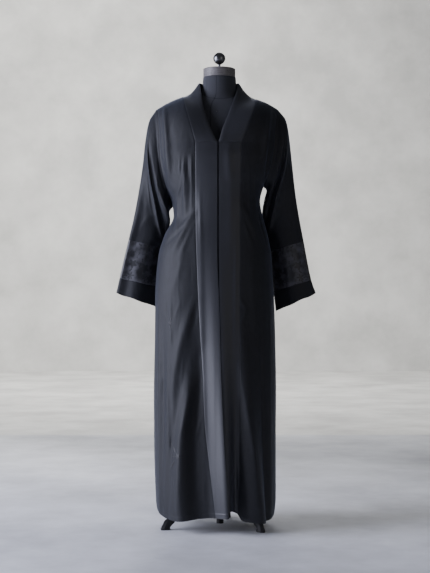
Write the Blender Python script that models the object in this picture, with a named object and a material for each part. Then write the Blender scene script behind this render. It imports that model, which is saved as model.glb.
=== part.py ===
"""An abaya cloak worn on a limbless dress form, on a pole with a three-legged cast foot.

Metres, +Z up. The front faces -Y, and +X is the wearer's left. The origin is on the floor, at
the middle of the footprint. Every piece of cloth is a wall: its outer points are worked out
from the garment's sections and folds, and its inner points lie one cloth thickness further in.
"""
import math

import bpy
import numpy as np

# ---------------------------------------------------------------- driving sizes
CLOTH = 0.002              # thickness of the cloth wall
SEAM_GAP = 0.0003          # gap between two pieces at a seam
HEM_LEVEL = 0.05           # the hem's height if it were level
HEM_EASE = 0.35            # share of the skirt over which its rows ease to the real hem
CROSS_SEAM_Z = 1.300       # where the collar band meets the front bands
UNDERARM_Z = {-1: 1.092, 1: 1.160}
ROUNDNESS = 2.25           # exponent of the body's sections: 2 is an ellipse
SKIRT_ROWS = 20            # rows of points from hem to underarm
ARMHOLE_ROWS = 4           # rows from underarm to the cross seam
FLAT_ROWS = SKIRT_ROWS + ARMHOLE_ROWS      # the row that lies on the cross seam
SHOULDER_ROWS = 6          # rows from the cross seam over the shoulder to its seam
FRONT_COLUMNS = 12
PLACKET_COLUMNS = 4
NECK_COLUMNS = 4           # columns of the back that end at the neckline
SLEEVE_RINGS = 11
LACE_RINGS = 3
CUFF_RINGS = 2
SLEEVE_EVEN_SHARE = 0.45   # from here on a sleeve's points are evenly spaced round it
SHOULDER_RISE = 0.004      # how far a shoulder seam arches above a straight line
POLE_X, POLE_Y = 0.0155, 0.0


class Table:
    """Rows of named columns, read as smooth curves over the first column."""

    def __init__(self, columns, rows):
        names = columns.split()
        data = np.array(sorted(rows), dtype=float)
        self.key = data[:, 0]
        self.values = dict(zip(names, data.T))
        self.slopes = {name: self.slope(column) for name, column in self.values.items()}

    def slope(self, column):
        """Slopes that keep the curve between its rows, with no overshoot."""
        steps = np.diff(self.key)
        rates = np.diff(column) / steps
        slopes = np.zeros(len(column))
        slopes[0], slopes[-1] = rates[0], rates[-1]
        for i in range(1, len(column) - 1):
            before, after = rates[i - 1], rates[i]
            if before * after > 0:
                w1 = 2 * steps[i] + steps[i - 1]
                w2 = steps[i] + 2 * steps[i - 1]
                slopes[i] = (w1 + w2) / (w1 / before + w2 / after)
        return slopes

    def at(self, name, key):
        """The value of a column at one place or at an array of places."""
        key = np.clip(key, self.key[0], self.key[-1])
        i = np.clip(np.searchsorted(self.key, key) - 1, 0, len(self.key) - 2)
        step = self.key[i + 1] - self.key[i]
        s = (key - self.key[i]) / step
        low, high = self.values[name][i], self.values[name][i + 1]
        slope_low, slope_high = self.slopes[name][i] * step, self.slopes[name][i + 1] * step
        return (low * (1 + 2 * s) * (1 - s) ** 2 + slope_low * s * (1 - s) ** 2
                + high * s * s * (3 - 2 * s) - slope_high * s * s * (1 - s))


# ---------------------------------------------------------------- the garment's sizes
# Half-widths to the wearer's right and left, and depths to the front and back, at each height.
# Above the underarms the half-widths are those of the section that the armhole cuts off.
BODY = Table("z right left front back", [
    (0.03, 0.195, 0.197, 0.172, 0.168),
    (0.10, 0.2035, 0.2060, 0.172, 0.170),
    (0.30, 0.2095, 0.2060, 0.165, 0.168),
    (0.45, 0.2105, 0.2070, 0.159, 0.166),
    (0.65, 0.2070, 0.2040, 0.151, 0.163),
    (0.80, 0.2055, 0.1985, 0.145, 0.160),
    (0.87, 0.201, 0.194, 0.142, 0.156),
    (0.93, 0.194, 0.190, 0.137, 0.153),
    (1.00, 0.172, 0.177, 0.131, 0.142),
    (1.06, 0.143, 0.161, 0.129, 0.130),
    (1.11, 0.150, 0.152, 0.132, 0.125),
    (1.16, 0.175, 0.164, 0.139, 0.122),
    (1.20, 0.190, 0.188, 0.145, 0.121),
    (1.25, 0.203, 0.207, 0.147, 0.122),
    (1.30, 0.212, 0.219, 0.138, 0.122),
])
# How far out the armhole runs at each height above the underarm.
ARMHOLE = {
    -1: Table("z x", [(1.092, 0.147), (1.15, 0.165), (1.20, 0.179), (1.25, 0.188), (1.30, 0.192)]),
    1: Table("z x", [(1.160, 0.163), (1.20, 0.178), (1.25, 0.192), (1.30, 0.199)]),
}
# Seams of the front bands below the cross seam, and the edge where the two bands meet.
BAND_SEAMS = Table("z right_seam meeting left_seam", [
    (0.05, 0.001, 0.0440, 0.0843),
    (0.15, -0.0126, 0.0375, 0.0843),
    (0.26, -0.0264, 0.0305, 0.0826),
    (0.37, -0.0380, 0.0250, 0.0812),
    (0.53, -0.0446, 0.0192, 0.0795),
    (0.70, -0.0545, 0.0149, 0.0795),
    (0.94, -0.0640, 0.0083, 0.0820),
    (1.10, -0.0668, 0.0083, 0.0825),
    (1.30, -0.0672, 0.0083, 0.0850),
])
# The gap between the two front bands, and how far the neckband arches (or sinks, below zero)
# between its edges on each side, by the share of the way up to the shoulder.
MEETING_GAP = Table("z gap", [(0.80, 0.0022), (0.90, 0.0046), (1.30, 0.0046)])
BAND_ARCH = Table("climb right left", [
    (0.0, 0.004, 0.004), (0.4, 0.004, 0.002), (0.8, -0.009, -0.011), (1.2, -0.011, -0.011), (1.5, 0.0, 0.0)])
# The collar band's outer seam over the shoulder, by the share of the way up to the shoulder.
COLLAR_SEAM = Table("climb right left", [
    (0.0, -0.0672, 0.0850), (0.25, -0.0850, 0.1080), (0.5, -0.1000, 0.1270),
    (0.75, -0.1080, 0.1350), (1.0, -0.1105, 0.1380)])
# The band's free edge up the V and round the neck, by the same share; beyond 1 is the back.
COLLAR_EDGE = Table("climb right left y z", [
    (0.000, 0.0062, 0.0106, -0.1385, 1.3000),
    (0.167, -0.0130, 0.0215, -0.1240, 1.3430),
    (0.333, -0.0280, 0.0365, -0.1070, 1.3830),
    (0.500, -0.0390, 0.0500, -0.0880, 1.4190),
    (0.667, -0.0460, 0.0630, -0.0640, 1.4555),
    (0.833, -0.0510, 0.0740, -0.0350, 1.4890),
    (1.000, -0.0555, 0.0785, -0.0020, 1.5160),
    (1.250, -0.0440, 0.0640, 0.0460, 1.5195),
    (1.500, 0.0100, 0.0100, 0.0690, 1.5205),
])
SHOULDER_TIP = {-1: (-0.203, 0.0, 1.4225), 1: (0.2135, 0.0, 1.4235)}
SHOULDER_POINT = {-1: (-0.1105, 0.0, 1.4675), 1: (0.138, 0.0, 1.4590)}
NECKLINE_BACK = (0.006, 0.086, 1.4630)     # the neckline's middle at the back
# Hem height round the body. Angle 0 is the middle of the front and 90 the wearer's left side.
HEM = Table("angle z", [
    (-180, 0.050), (-150, 0.047), (-120, 0.060), (-90, 0.080), (-77, 0.064), (-56, 0.0460),
    (-38, 0.0435), (-13, 0.0520), (0, 0.0560), (10, 0.0600), (15, 0.0660), (21, 0.0660),
    (27, 0.0430), (36, 0.0400), (52, 0.0350), (63, 0.0370), (79, 0.0460), (90, 0.0520),
    (120, 0.052), (150, 0.046), (180, 0.050)])
# Low down, the left front band goes behind the right one: how far its free edge is set back,
# how high that begins, and how far the hem is hitched up there and over how many rows.
LEFT_PLACKET_SET = (-0.006, 0.016, 0.0)
LEFT_PLACKET_SET_HEIGHT = 0.55
LEFT_PLACKET_LIFT, LEFT_PLACKET_LIFT_ROWS = 0.018, 4

# Folds: where each starts, its middle and its low end across the body, its half-width at both
# ends, and how far it stands out (or in, below zero) at its middle and low end.
FOLD_COLUMNS = "z_top x_top x_mid x_low z_low width_top width_low rise_mid rise_low".split()
FRONT_FOLDS = {
    "trough beside the right band": (0.64, -0.046, -0.082, -0.080, 0.04, 0.014, 0.022, -0.014, -0.014),
    "right band set back": (1.00, -0.068, -0.052, -0.033, 0.04, 0.030, 0.045, -0.014, -0.032),
    "right band's free edge": (1.00, 0.008, 0.021, 0.045, 0.04, 0.022, 0.026, 0.015, 0.030),
    "long ridge on the right": (0.60, -0.056, -0.112, -0.118, 0.05, 0.015, 0.022, 0.014, 0.015),
    "trough beyond it": (0.66, -0.098, -0.136, -0.162, 0.08, 0.017, 0.020, -0.010, -0.006),
    "short ridge on the right": (0.80, -0.060, -0.116, -0.146, 0.44, 0.015, 0.019, 0.009, 0.0),
    "trough at the right side": (0.74, -0.174, -0.176, -0.178, 0.16, 0.018, 0.018, -0.006, -0.003),
    "long ridge on the left": (0.76, 0.080, 0.110, 0.138, 0.04, 0.014, 0.030, 0.014, 0.026),
    "trough at the left band": (0.58, 0.068, 0.070, 0.077, 0.04, 0.018, 0.026, -0.018, -0.044),
    "trough beyond the left ridge": (0.60, 0.146, 0.160, 0.172, 0.04, 0.018, 0.016, -0.006, -0.006),
    "chest ridge at the right armhole": (1.38, -0.160, -0.161, -0.156, 1.18, 0.013, 0.013, 0.007, 0.0),
    "chest ridge at the left armhole": (1.38, 0.166, 0.167, 0.160, 1.22, 0.013, 0.013, 0.005, 0.0),
    "pleat under the right bust": (1.24, -0.103, -0.099, -0.104, 1.04, 0.011, 0.012, 0.005, 0.0),
    "pull to the right waist": (1.08, -0.068, -0.106, -0.146, 0.93, 0.014, 0.018, 0.006, 0.0),
    "pull to the left waist": (1.10, 0.086, 0.118, 0.150, 0.96, 0.014, 0.018, 0.005, 0.0),
}
BACK_FOLDS = {
    "middle trough": (1.04, 0.004, 0.000, -0.008, 0.04, 0.024, 0.030, -0.010, -0.018),
    "ridge right of the middle": (1.02, -0.046, -0.052, -0.060, 0.04, 0.020, 0.026, 0.012, 0.020),
    "ridge left of the middle": (0.92, 0.050, 0.048, 0.054, 0.04, 0.020, 0.026, 0.009, 0.022),
    "trough on the right": (0.96, -0.096, -0.104, -0.108, 0.04, 0.018, 0.022, -0.009, -0.016),
    "trough on the left": (0.86, 0.098, 0.100, 0.104, 0.04, 0.018, 0.024, -0.008, -0.018),
    "outer ridge on the right": (0.80, -0.140, -0.146, -0.152, 0.04, 0.018, 0.022, 0.008, 0.014),
    "outer ridge on the left": (0.98, 0.136, 0.146, 0.150, 0.04, 0.018, 0.022, 0.009, 0.013),
    "trough at the right side": (0.70, -0.178, -0.180, -0.180, 0.06, 0.016, 0.018, -0.006, -0.008),
    "pull from the right shoulder blade": (1.30, -0.110, -0.080, -0.050, 1.00, 0.018, 0.018, 0.005, 0.0),
    "pull from the left shoulder blade": (1.30, 0.116, 0.088, 0.060, 0.98, 0.018, 0.018, 0.005, 0.0),
}
# Sleeve sections, from the armhole (0) to the cuff's edge (1): the outer and inner edges, how
# deep the front and back bulge between them, and how far their middles bow outward.
SLEEVE_COLUMNS = "share outer_x outer_y outer_z inner_x inner_y inner_z front back bow"
SLEEVES = {
    -1: Table(SLEEVE_COLUMNS, [
        (0.08, 0.226, 0.003, 1.385, 0.1575, 0.001, 1.074, 0.062, 0.057, 0.019),
        (0.18, 0.238, 0.004, 1.325, 0.1550, 0.014, 1.048, 0.057, 0.060, 0.018),
        (0.32, 0.249, 0.008, 1.235, 0.1610, 0.046, 1.018, 0.048, 0.056, 0.011),
        (0.48, 0.265, 0.014, 1.135, 0.172, 0.062, 0.985, 0.038, 0.050, 0.005),
        (0.62, 0.282, 0.022, 1.050, 0.181, 0.069, 0.965, 0.032, 0.043, 0.000),
        (0.72, 0.2990, 0.028, 0.981, 0.187, 0.075, 0.952, 0.029, 0.038, 0.000),
        (0.90, 0.3310, 0.040, 0.849, 0.1995, 0.081, 0.819, 0.025, 0.032, 0.000),
        (1.00, 0.3425, 0.046, 0.798, 0.2035, 0.084, 0.749, 0.023, 0.030, 0.000)]),
    1: Table(SLEEVE_COLUMNS, [
        (0.08, 0.240, 0.003, 1.387, 0.174, 0.001, 1.147, 0.062, 0.057, 0.018),
        (0.18, 0.2515, 0.004, 1.327, 0.1670, 0.010, 1.118, 0.056, 0.060, 0.016),
        (0.32, 0.2625, 0.008, 1.236, 0.1605, 0.026, 1.070, 0.047, 0.056, 0.009),
        (0.48, 0.2745, 0.014, 1.135, 0.1710, 0.052, 1.015, 0.038, 0.050, 0.004),
        (0.62, 0.2885, 0.022, 1.050, 0.181, 0.066, 0.970, 0.032, 0.043, 0.000),
        (0.72, 0.3030, 0.028, 0.977, 0.188, 0.073, 0.940, 0.029, 0.038, 0.000),
        (0.90, 0.3305, 0.040, 0.843, 0.2015, 0.079, 0.804, 0.025, 0.032, 0.000),
        (1.00, 0.3460, 0.046, 0.797, 0.2105, 0.082, 0.735, 0.023, 0.030, 0.000)]),
}
LACE_SHARES = (0.72, 0.90)                 # the decorated band's place along the sleeve
SLEEVE_FOLD_SIDEWAYS = 0.25                # folds stand out mostly to the front and back
OPEN_FOLD_SHARE = 0.9                      # a fold that ends beyond this runs out at the cuff
# Sleeve folds: from and to along the sleeve, angle round it at both ends, half-width, rise.
SLEEVE_FOLDS = {
    "long crease from shoulder to elbow": (0.04, 0.56, 42, 150, 0.016, 0.012),
    "trough inside it": (0.06, 0.50, 74, 168, 0.016, -0.009),
    "trough down the outer face": (0.30, 0.95, 62, 76, 0.018, -0.006),
    "ridge down the inner face": (0.50, 1.00, 118, 112, 0.018, 0.006),
    "back crease": (0.06, 0.62, 318, 214, 0.018, 0.010),
    "back trough": (0.24, 0.98, 262, 268, 0.020, -0.007),
}


# ---------------------------------------------------------------- surfaces
def superellipse(angle):
    """Sine and cosine of a section's angle, bent to the section's fullness."""
    power = 2 / ROUNDNESS
    sine, cosine = np.sin(angle), np.cos(angle)
    return np.sign(sine) * np.abs(sine) ** power, np.sign(cosine) * np.abs(cosine) ** power


def half_width(side, z):
    return BODY.at("right" if side < 0 else "left", z)


def section_angle(x, z):
    """The front angle at which the section at height z reaches x."""
    side = -1 if x < 0 else 1
    share = min(abs(x) / float(half_width(side, z)), 1.0)
    return side * math.asin(share ** (ROUNDNESS / 2))


def fold_rise(folds, angle, z, front):
    """How far all the folds of the front or back move the surface at one place."""
    turn = angle if front else (math.pi - abs(angle)) * (1 if angle >= 0 else -1)
    radius = float(half_width(1, z) + BODY.at("front" if front else "back", z)) / 2
    total = 0.0
    for row in folds.values():
        fold = dict(zip(FOLD_COLUMNS, row))
        s = (fold["z_top"] - z) / (fold["z_top"] - fold["z_low"])
        if s <= 0 or (s >= 1 and fold["rise_low"] == 0):
            continue
        s = min(s, 1.0)
        x = (fold["x_top"] * (1 - s) * (1 - 2 * s) + fold["x_mid"] * 4 * s * (1 - s)
             + fold["x_low"] * s * (2 * s - 1))
        width = fold["width_top"] * (1 - s) + fold["width_low"] * s
        rise = fold["rise_mid"] * 4 * s * (1 - s) + fold["rise_low"] * s * (2 * s - 1)
        away = (turn - section_angle(x, z)) * radius / width
        total += rise * math.exp(-away * away)
    return total


def body_point(angle, z):
    """A point of the body's surface, folds included, at a section angle and a height."""
    sine, cosine = superellipse(angle)
    side = 1 if sine >= 0 else -1
    width = float(half_width(side, z))
    depth = float(BODY.at("front" if cosine >= 0 else "back", z))
    normal = np.array([math.sin(angle) / width, -math.cos(angle) / depth, 0.0])
    normal /= np.linalg.norm(normal)
    folds = FRONT_FOLDS if cosine >= 0 else BACK_FOLDS
    return (np.array([width * sine, -depth * cosine, z])
            + normal * fold_rise(folds, angle, z, cosine >= 0))


def row_height(side, row, angle):
    """Height of a row of points below the cross seam, eased to the hem's own line."""
    if row <= SKIRT_ROWS:
        share = row / SKIRT_ROWS
        hem = float(HEM.at("z", math.degrees(angle)))
        ease = max(0.0, 1 - share / HEM_EASE) ** 2
        level = HEM_LEVEL + (UNDERARM_Z[side] - HEM_LEVEL) * share
        return level + (hem - HEM_LEVEL) * ease
    share = (row - SKIRT_ROWS) / ARMHOLE_ROWS
    return UNDERARM_Z[side] + (CROSS_SEAM_Z - UNDERARM_Z[side]) * share


def side_angle(side, z):
    """The angle where a front ends: the side seam, or the armhole above the underarm."""
    if z <= UNDERARM_Z[side] + 1e-6:
        return math.pi / 2
    share = float(ARMHOLE[side].at("x", z)) / float(half_width(side, z))
    return math.asin(min(share, 1.0) ** (ROUNDNESS / 2))


def over_shoulder(start, end, climb):
    """A point on the way from the cross seam's level over to the shoulder seam or neckline."""
    lift, reach = math.sin(climb * math.pi / 2), math.cos(climb * math.pi / 2)
    ease = climb * climb * (3 - 2 * climb)
    x = start[0] + (end[0] - start[0]) * ease
    y = end[1] + (start[1] - end[1]) * reach
    return np.array([x, y, start[2] + (end[2] - start[2]) * lift])


def shoulder_seam(side, share):
    """The shoulder seam, from the neck point (0) to the tip (1), sloping more towards the tip."""
    neck, tip = np.array(SHOULDER_POINT[side]), np.array(SHOULDER_TIP[side])
    point = neck + (tip - neck) * share
    point[2] += SHOULDER_RISE * math.sin(math.pi * share)
    return point


def front_grid(side):
    """The outer points of one front, rows from the hem up, columns from the band seam out."""
    seam = "right_seam" if side < 0 else "left_seam"
    grid = np.zeros((FLAT_ROWS + SHOULDER_ROWS + 1, FRONT_COLUMNS + 1, 3))
    for row in range(FLAT_ROWS + 1):
        for column in range(FRONT_COLUMNS + 1):
            share = column / FRONT_COLUMNS
            z = row_height(side, row, side * math.radians(20 + 70 * share))
            for _ in range(3):             # the hem's height depends on the angle it gives
                first = section_angle(float(BAND_SEAMS.at(seam, z)), z)
                last = side * side_angle(side, z)
                angle = first + (last - first) * share
                z = row_height(side, row, angle)
            grid[row, column] = body_point(angle, z)
    for row in range(1, SHOULDER_ROWS + 1):
        climb = row / SHOULDER_ROWS
        for column in range(FRONT_COLUMNS + 1):
            share = column / FRONT_COLUMNS
            start = grid[FLAT_ROWS, column]
            point = over_shoulder(start, shoulder_seam(side, share), climb)
            band = float(COLLAR_SEAM.at("right" if side < 0 else "left", climb))
            plain = over_shoulder(grid[FLAT_ROWS, 0], shoulder_seam(side, 0), climb)[0]
            point[0] += (band - plain) * (1 - share)
            grid[FLAT_ROWS + row, column] = point
    return grid


def placket_grid(side):
    """The outer points of one front band, from the hem to the cross seam."""
    seam = "right_seam" if side < 0 else "left_seam"
    grid = np.zeros((FLAT_ROWS + 1, PLACKET_COLUMNS + 1, 3))
    for row in range(FLAT_ROWS + 1):
        for column in range(PLACKET_COLUMNS + 1):
            share = column / PLACKET_COLUMNS       # 0 at the outer seam, 1 at the free edge
            z = row_height(side, row, side * math.radians(10))
            for _ in range(3):
                first = section_angle(float(BAND_SEAMS.at(seam, z)), z)
                edge = float(BAND_SEAMS.at("meeting", z)) + side * float(MEETING_GAP.at("gap", z)) / 2
                last = section_angle(edge, z)
                angle = first + (last - first) * share
                z = row_height(side, row, angle)
            low = max(0.0, 1 - (z - HEM_LEVEL) / LEFT_PLACKET_SET_HEIGHT)
            point = body_point(angle, z)
            if side > 0:
                point = point + np.array(LEFT_PLACKET_SET) * low * share
                point[2] += LEFT_PLACKET_LIFT * share * max(0.0, 1 - row / LEFT_PLACKET_LIFT_ROWS)
            grid[row, column] = point
    return grid


def back_grid():
    """The outer points of the back, rows from the hem up, columns from right to left."""
    columns = 2 * FRONT_COLUMNS + NECK_COLUMNS
    grid = np.zeros((FLAT_ROWS + SHOULDER_ROWS + 1, columns + 1, 3))
    for row in range(FLAT_ROWS + 1):
        for column in range(columns + 1):
            share = column / columns
            ends = {}
            for side in (-1, 1):
                z = row_height(side, row, side * math.pi / 2)
                ends[side] = z, side * (math.pi - side_angle(side, z))
            turn_right = ends[-1][1] + 2 * math.pi   # counted on past the middle of the back
            angle = turn_right + (ends[1][1] - turn_right) * share
            if angle > math.pi:
                angle -= 2 * math.pi
            z = ends[-1][0] + (ends[1][0] - ends[-1][0]) * share
            if row < SKIRT_ROWS:
                z = (row_height(-1, row, angle) * (1 - share) + row_height(1, row, angle) * share)
            grid[row, column] = body_point(angle, z)
    top = []
    for column in range(columns + 1):
        if column <= FRONT_COLUMNS:
            top.append(shoulder_seam(-1, 1 - column / FRONT_COLUMNS))
        elif column >= FRONT_COLUMNS + NECK_COLUMNS:
            top.append(shoulder_seam(1, (column - FRONT_COLUMNS - NECK_COLUMNS) / FRONT_COLUMNS))
        else:
            top.append(neckline_point((column - FRONT_COLUMNS) / NECK_COLUMNS))
    for row in range(1, SHOULDER_ROWS + 1):
        climb = row / SHOULDER_ROWS
        for column in range(columns + 1):
            grid[FLAT_ROWS + row, column] = over_shoulder(grid[FLAT_ROWS, column], top[column], climb)
    return grid


def neckline_point(share):
    """The neckline round the back of the neck, from the right neck point to the left."""
    right, left = np.array(SHOULDER_POINT[-1]), np.array(SHOULDER_POINT[1])
    middle = np.array(NECKLINE_BACK)
    turn = math.pi * share
    point = (right + left) / 2 + (right - left) / 2 * math.cos(turn)
    point[1] += (middle[1] - point[1]) * math.sin(turn) ** 0.8
    return point


def collar_grid(fronts, plackets):
    """The collar band, rows from the right cross seam round the neck to the left one."""
    outer, inner, arches = [], [], []
    for side in (-1, 1):
        column = "right" if side < 0 else "left"
        seam = [fronts[side][FLAT_ROWS + row, 0] for row in range(SHOULDER_ROWS + 1)]
        edge = [np.array([float(COLLAR_EDGE.at(name, row / SHOULDER_ROWS)) for name in (column, "y", "z")])
                for row in range(SHOULDER_ROWS + 1)]
        arch = [float(BAND_ARCH.at(column, row / SHOULDER_ROWS)) for row in range(SHOULDER_ROWS + 1)]
        if side > 0:
            seam, edge, arch = seam[::-1], edge[::-1], arch[::-1]
        outer.append(seam)
        inner.append(edge)
        arches.append(arch)
    middle_outer = [neckline_point(i / NECK_COLUMNS) for i in range(1, NECK_COLUMNS)]
    middle_inner, middle_arch = [], []
    for i in range(1, NECK_COLUMNS):
        share = i / NECK_COLUMNS
        climb = 1 + 0.5 * (1 - abs(1 - 2 * share))
        column = "right" if share < 0.5 else "left"
        middle_inner.append(np.array([float(COLLAR_EDGE.at(name, climb)) for name in (column, "y", "z")]))
        middle_arch.append(float(BAND_ARCH.at(column, climb)))
    outer = outer[0] + middle_outer + outer[1]
    inner = inner[0] + middle_inner + inner[1]
    arches = arches[0] + middle_arch + arches[1]
    grid = np.zeros((len(outer), PLACKET_COLUMNS + 1, 3))
    for row, (seam, edge, arch) in enumerate(zip(outer, inner, arches)):
        for column in range(PLACKET_COLUMNS + 1):
            share = column / PLACKET_COLUMNS
            rise = np.array([0.0, 0.0, arch]) * math.sin(math.pi * share)
            grid[row, column] = edge + (seam - edge) * share + rise
    for side, rows in ((-1, (0, 1, 2)), (1, (-1, -2, -3))):
        shift = plackets[side][-1, ::-1] - grid[rows[0]]   # the cross seam follows the front band
        for row, weight in zip(rows, (1.0, 0.5, 0.15)):
            grid[row] += shift * weight
    return grid


def armhole_loop(side, front, back):
    """The armhole's points from the shoulder tip down the front and up the back again."""
    rows = range(FLAT_ROWS + SHOULDER_ROWS, SKIRT_ROWS - 1, -1)
    edge = 0 if side < 0 else -1
    down = [front[row, -1] for row in rows]
    up = [back[row, edge] for row in reversed(rows)]
    return np.array(down + up[1:-1])


def sleeve_ring(side, share, angles):
    """One plain section of the sleeve."""
    row = {name: float(SLEEVES[side].at(name, share)) for name in SLEEVE_COLUMNS.split()[1:]}
    outer = np.array([side * row["outer_x"], row["outer_y"], row["outer_z"]])
    inner = np.array([side * row["inner_x"], row["inner_y"], row["inner_z"]])
    ring = []
    for angle in angles:
        sine, cosine = superellipse(angle)
        depth = row["front"] if sine >= 0 else row["back"]
        point = (outer + inner) / 2 + (outer - inner) / 2 * cosine
        ring.append(point + np.array([side * row["bow"] * sine * sine, -depth * sine, 0.0]))
    return np.array(ring)


def sleeve_grid(side, loop, shares):
    """Rings of the sleeve at the given shares of the way from armhole to cuff."""
    count = len(loop)
    even = np.arange(count) * 2 * math.pi / count
    middle, reach = (loop[0] + loop[count // 2]) / 2, (loop[0, 2] - loop[count // 2, 2]) / 2
    lean = np.arccos(np.clip((loop[:, 2] - middle[2]) / reach, -1, 1))
    lean[count // 2 + 1:] = 2 * math.pi - lean[count // 2 + 1:]
    stations = [0.0] + list(SLEEVES[side].key)
    rings = [loop]
    for station in stations[1:]:
        blend = min(station / SLEEVE_EVEN_SHARE, 1.0)
        rings.append(sleeve_ring(side, station, lean * (1 - blend) + even * blend))
    rings = np.array(rings)
    grid = np.zeros((len(shares), count, 3))
    for j in range(count):
        rows = [(s, *rings[i, j]) for i, s in enumerate(stations)]
        path = Table("share x y z", rows)
        for i, share in enumerate(shares):
            grid[i, j] = [float(path.at(name, share)) for name in "xyz"]
    blends = [min(share / SLEEVE_EVEN_SHARE, 1.0) for share in shares]
    for i, share in enumerate(shares):
        centre = grid[i].mean(axis=0)
        girth = np.linalg.norm(np.roll(grid[i], -1, axis=0) - grid[i], axis=1).sum()
        turns = lean * (1 - blends[i]) + even * blends[i]
        for j in range(count):
            rise = sleeve_fold_rise(share, turns[j], girth)
            out = grid[i, j] - centre
            out[0] *= SLEEVE_FOLD_SIDEWAYS
            grid[i, j] += out / (np.linalg.norm(out) + 1e-9) * rise
    return grid


def sleeve_fold_rise(share, turn, girth):
    total = 0.0
    for start, end, angle_start, angle_end, width, rise in SLEEVE_FOLDS.values():
        s = (share - start) / (end - start)
        runs_out = end >= OPEN_FOLD_SHARE
        if s <= 0 or (s >= 1 and not runs_out):
            continue
        s = min(s, 1.0)
        angle = math.radians(angle_start + (angle_end - angle_start) * s)
        fade = math.sin(math.pi * (min(s, 0.5) if runs_out else s))
        away = (turn - angle) * girth / (2 * math.pi) / width
        total += rise * fade * math.exp(-away * away)
    return total


# ---------------------------------------------------------------- cloth walls
def unit(vector):
    return vector / np.linalg.norm(vector)


def grid_triangles(rows, columns, closed):
    """Triangles over a grid of points, wrapped round if it is closed."""
    triangles = []
    for row in range(rows - 1):
        for column in range(columns if closed else columns - 1):
            a = row * columns + column
            b = row * columns + (column + 1) % columns
            c, d = b + columns, a + columns
            triangles += [(a, b, c), (a, c, d)]
    return triangles


def shared_normals(pieces):
    """Normals of all the cloth together, so that pieces agree along their seams.

    At the armholes the body counts once and the sleeve once, so the wall halves their valley.
    """
    sums, keys = {}, {}
    for name, piece in pieces.items():
        rows, columns = piece["grid"].shape[:2]
        flat = piece["grid"].reshape(-1, 3)
        own = np.zeros_like(flat)
        for a, b, c in grid_triangles(rows, columns, piece["closed"]):
            own[[a, b, c]] += np.cross(flat[b] - flat[a], flat[c] - flat[a]) * piece["facing"]
        own /= np.linalg.norm(own, axis=1)[:, None]
        keys[name] = [tuple(key) for key in np.round(flat, 5)]
        for key, normal in zip(keys[name], own):
            groups = sums.setdefault(key, {})
            groups[piece["closed"]] = groups.get(piece["closed"], 0) + normal
    for name, piece in pieces.items():
        normals = [sum(unit(part) for part in sums[key].values()) for key in keys[name]]
        piece["normals"] = np.array([unit(n) for n in normals]).reshape(piece["grid"].shape)


def drawn_in(piece):
    """The grid with its sewn edges moved in by half the seam gap."""
    grid = piece["grid"].copy()
    source, normals = piece["grid"], piece["normals"]
    edges = {"first_row": (0, 1, 0), "last_row": (-1, -2, 0), "first_column": (0, 1, 1),
             "last_column": (-1, -2, 1)}
    for name in piece["sewn"]:
        edge, beside, axis = edges[name]
        line, up = np.take(source, edge, axis), np.take(normals, edge, axis)
        inward = np.take(source, beside, axis) - line
        along = np.gradient(line, axis=0)
        along /= np.linalg.norm(along, axis=1)[:, None] + 1e-12
        inward = inward - along * (inward * along).sum(axis=1)[:, None]
        inward = inward - up * (inward * up).sum(axis=1)[:, None]
        inward /= np.linalg.norm(inward, axis=1)[:, None]
        if axis == 0:
            grid[edge] += inward * SEAM_GAP / 2
        else:
            grid[:, edge] += inward * SEAM_GAP / 2
    return grid


def cloth_wall(name, piece, material):
    """One piece of cloth as a closed wall, between its outer points and those just inside."""
    grid = drawn_in(piece)
    rows, columns = grid.shape[:2]
    outer = grid.reshape(-1, 3)
    inner = outer - piece["normals"].reshape(-1, 3) * CLOTH
    count = len(outer)
    skin = grid_triangles(rows, columns, piece["closed"])
    if piece["facing"] < 0:
        skin = [(a, c, b) for a, b, c in skin]
    faces = skin + [(a + count, c + count, b + count) for a, b, c in skin]
    edges = {}
    for a, b, c in skin:
        for start, end in ((a, b), (b, c), (c, a)):
            edges[start, end] = True
    order = outer @ np.array([0.31, 0.17, 1.0])
    for start, end in edges:
        if (end, start) in edges:
            continue
        # A border: the wall is closed there. Both walls of a seam split these faces alike.
        if order[start] < order[end]:
            faces += [(end, start, end + count), (start, start + count, end + count)]
        else:
            faces += [(end, start, start + count), (end, start + count, end + count)]
    mesh = bpy.data.meshes.new(name)
    mesh.from_pydata([tuple(p) for p in np.vstack([outer, inner])], [], faces)
    mesh.materials.append(material)
    for polygon in mesh.polygons:
        polygon.use_smooth = True
    mesh.set_sharp_from_angle(angle=math.radians(50))
    part = bpy.data.objects.new(name, mesh)
    bpy.context.scene.collection.objects.link(part)
    return part


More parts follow.
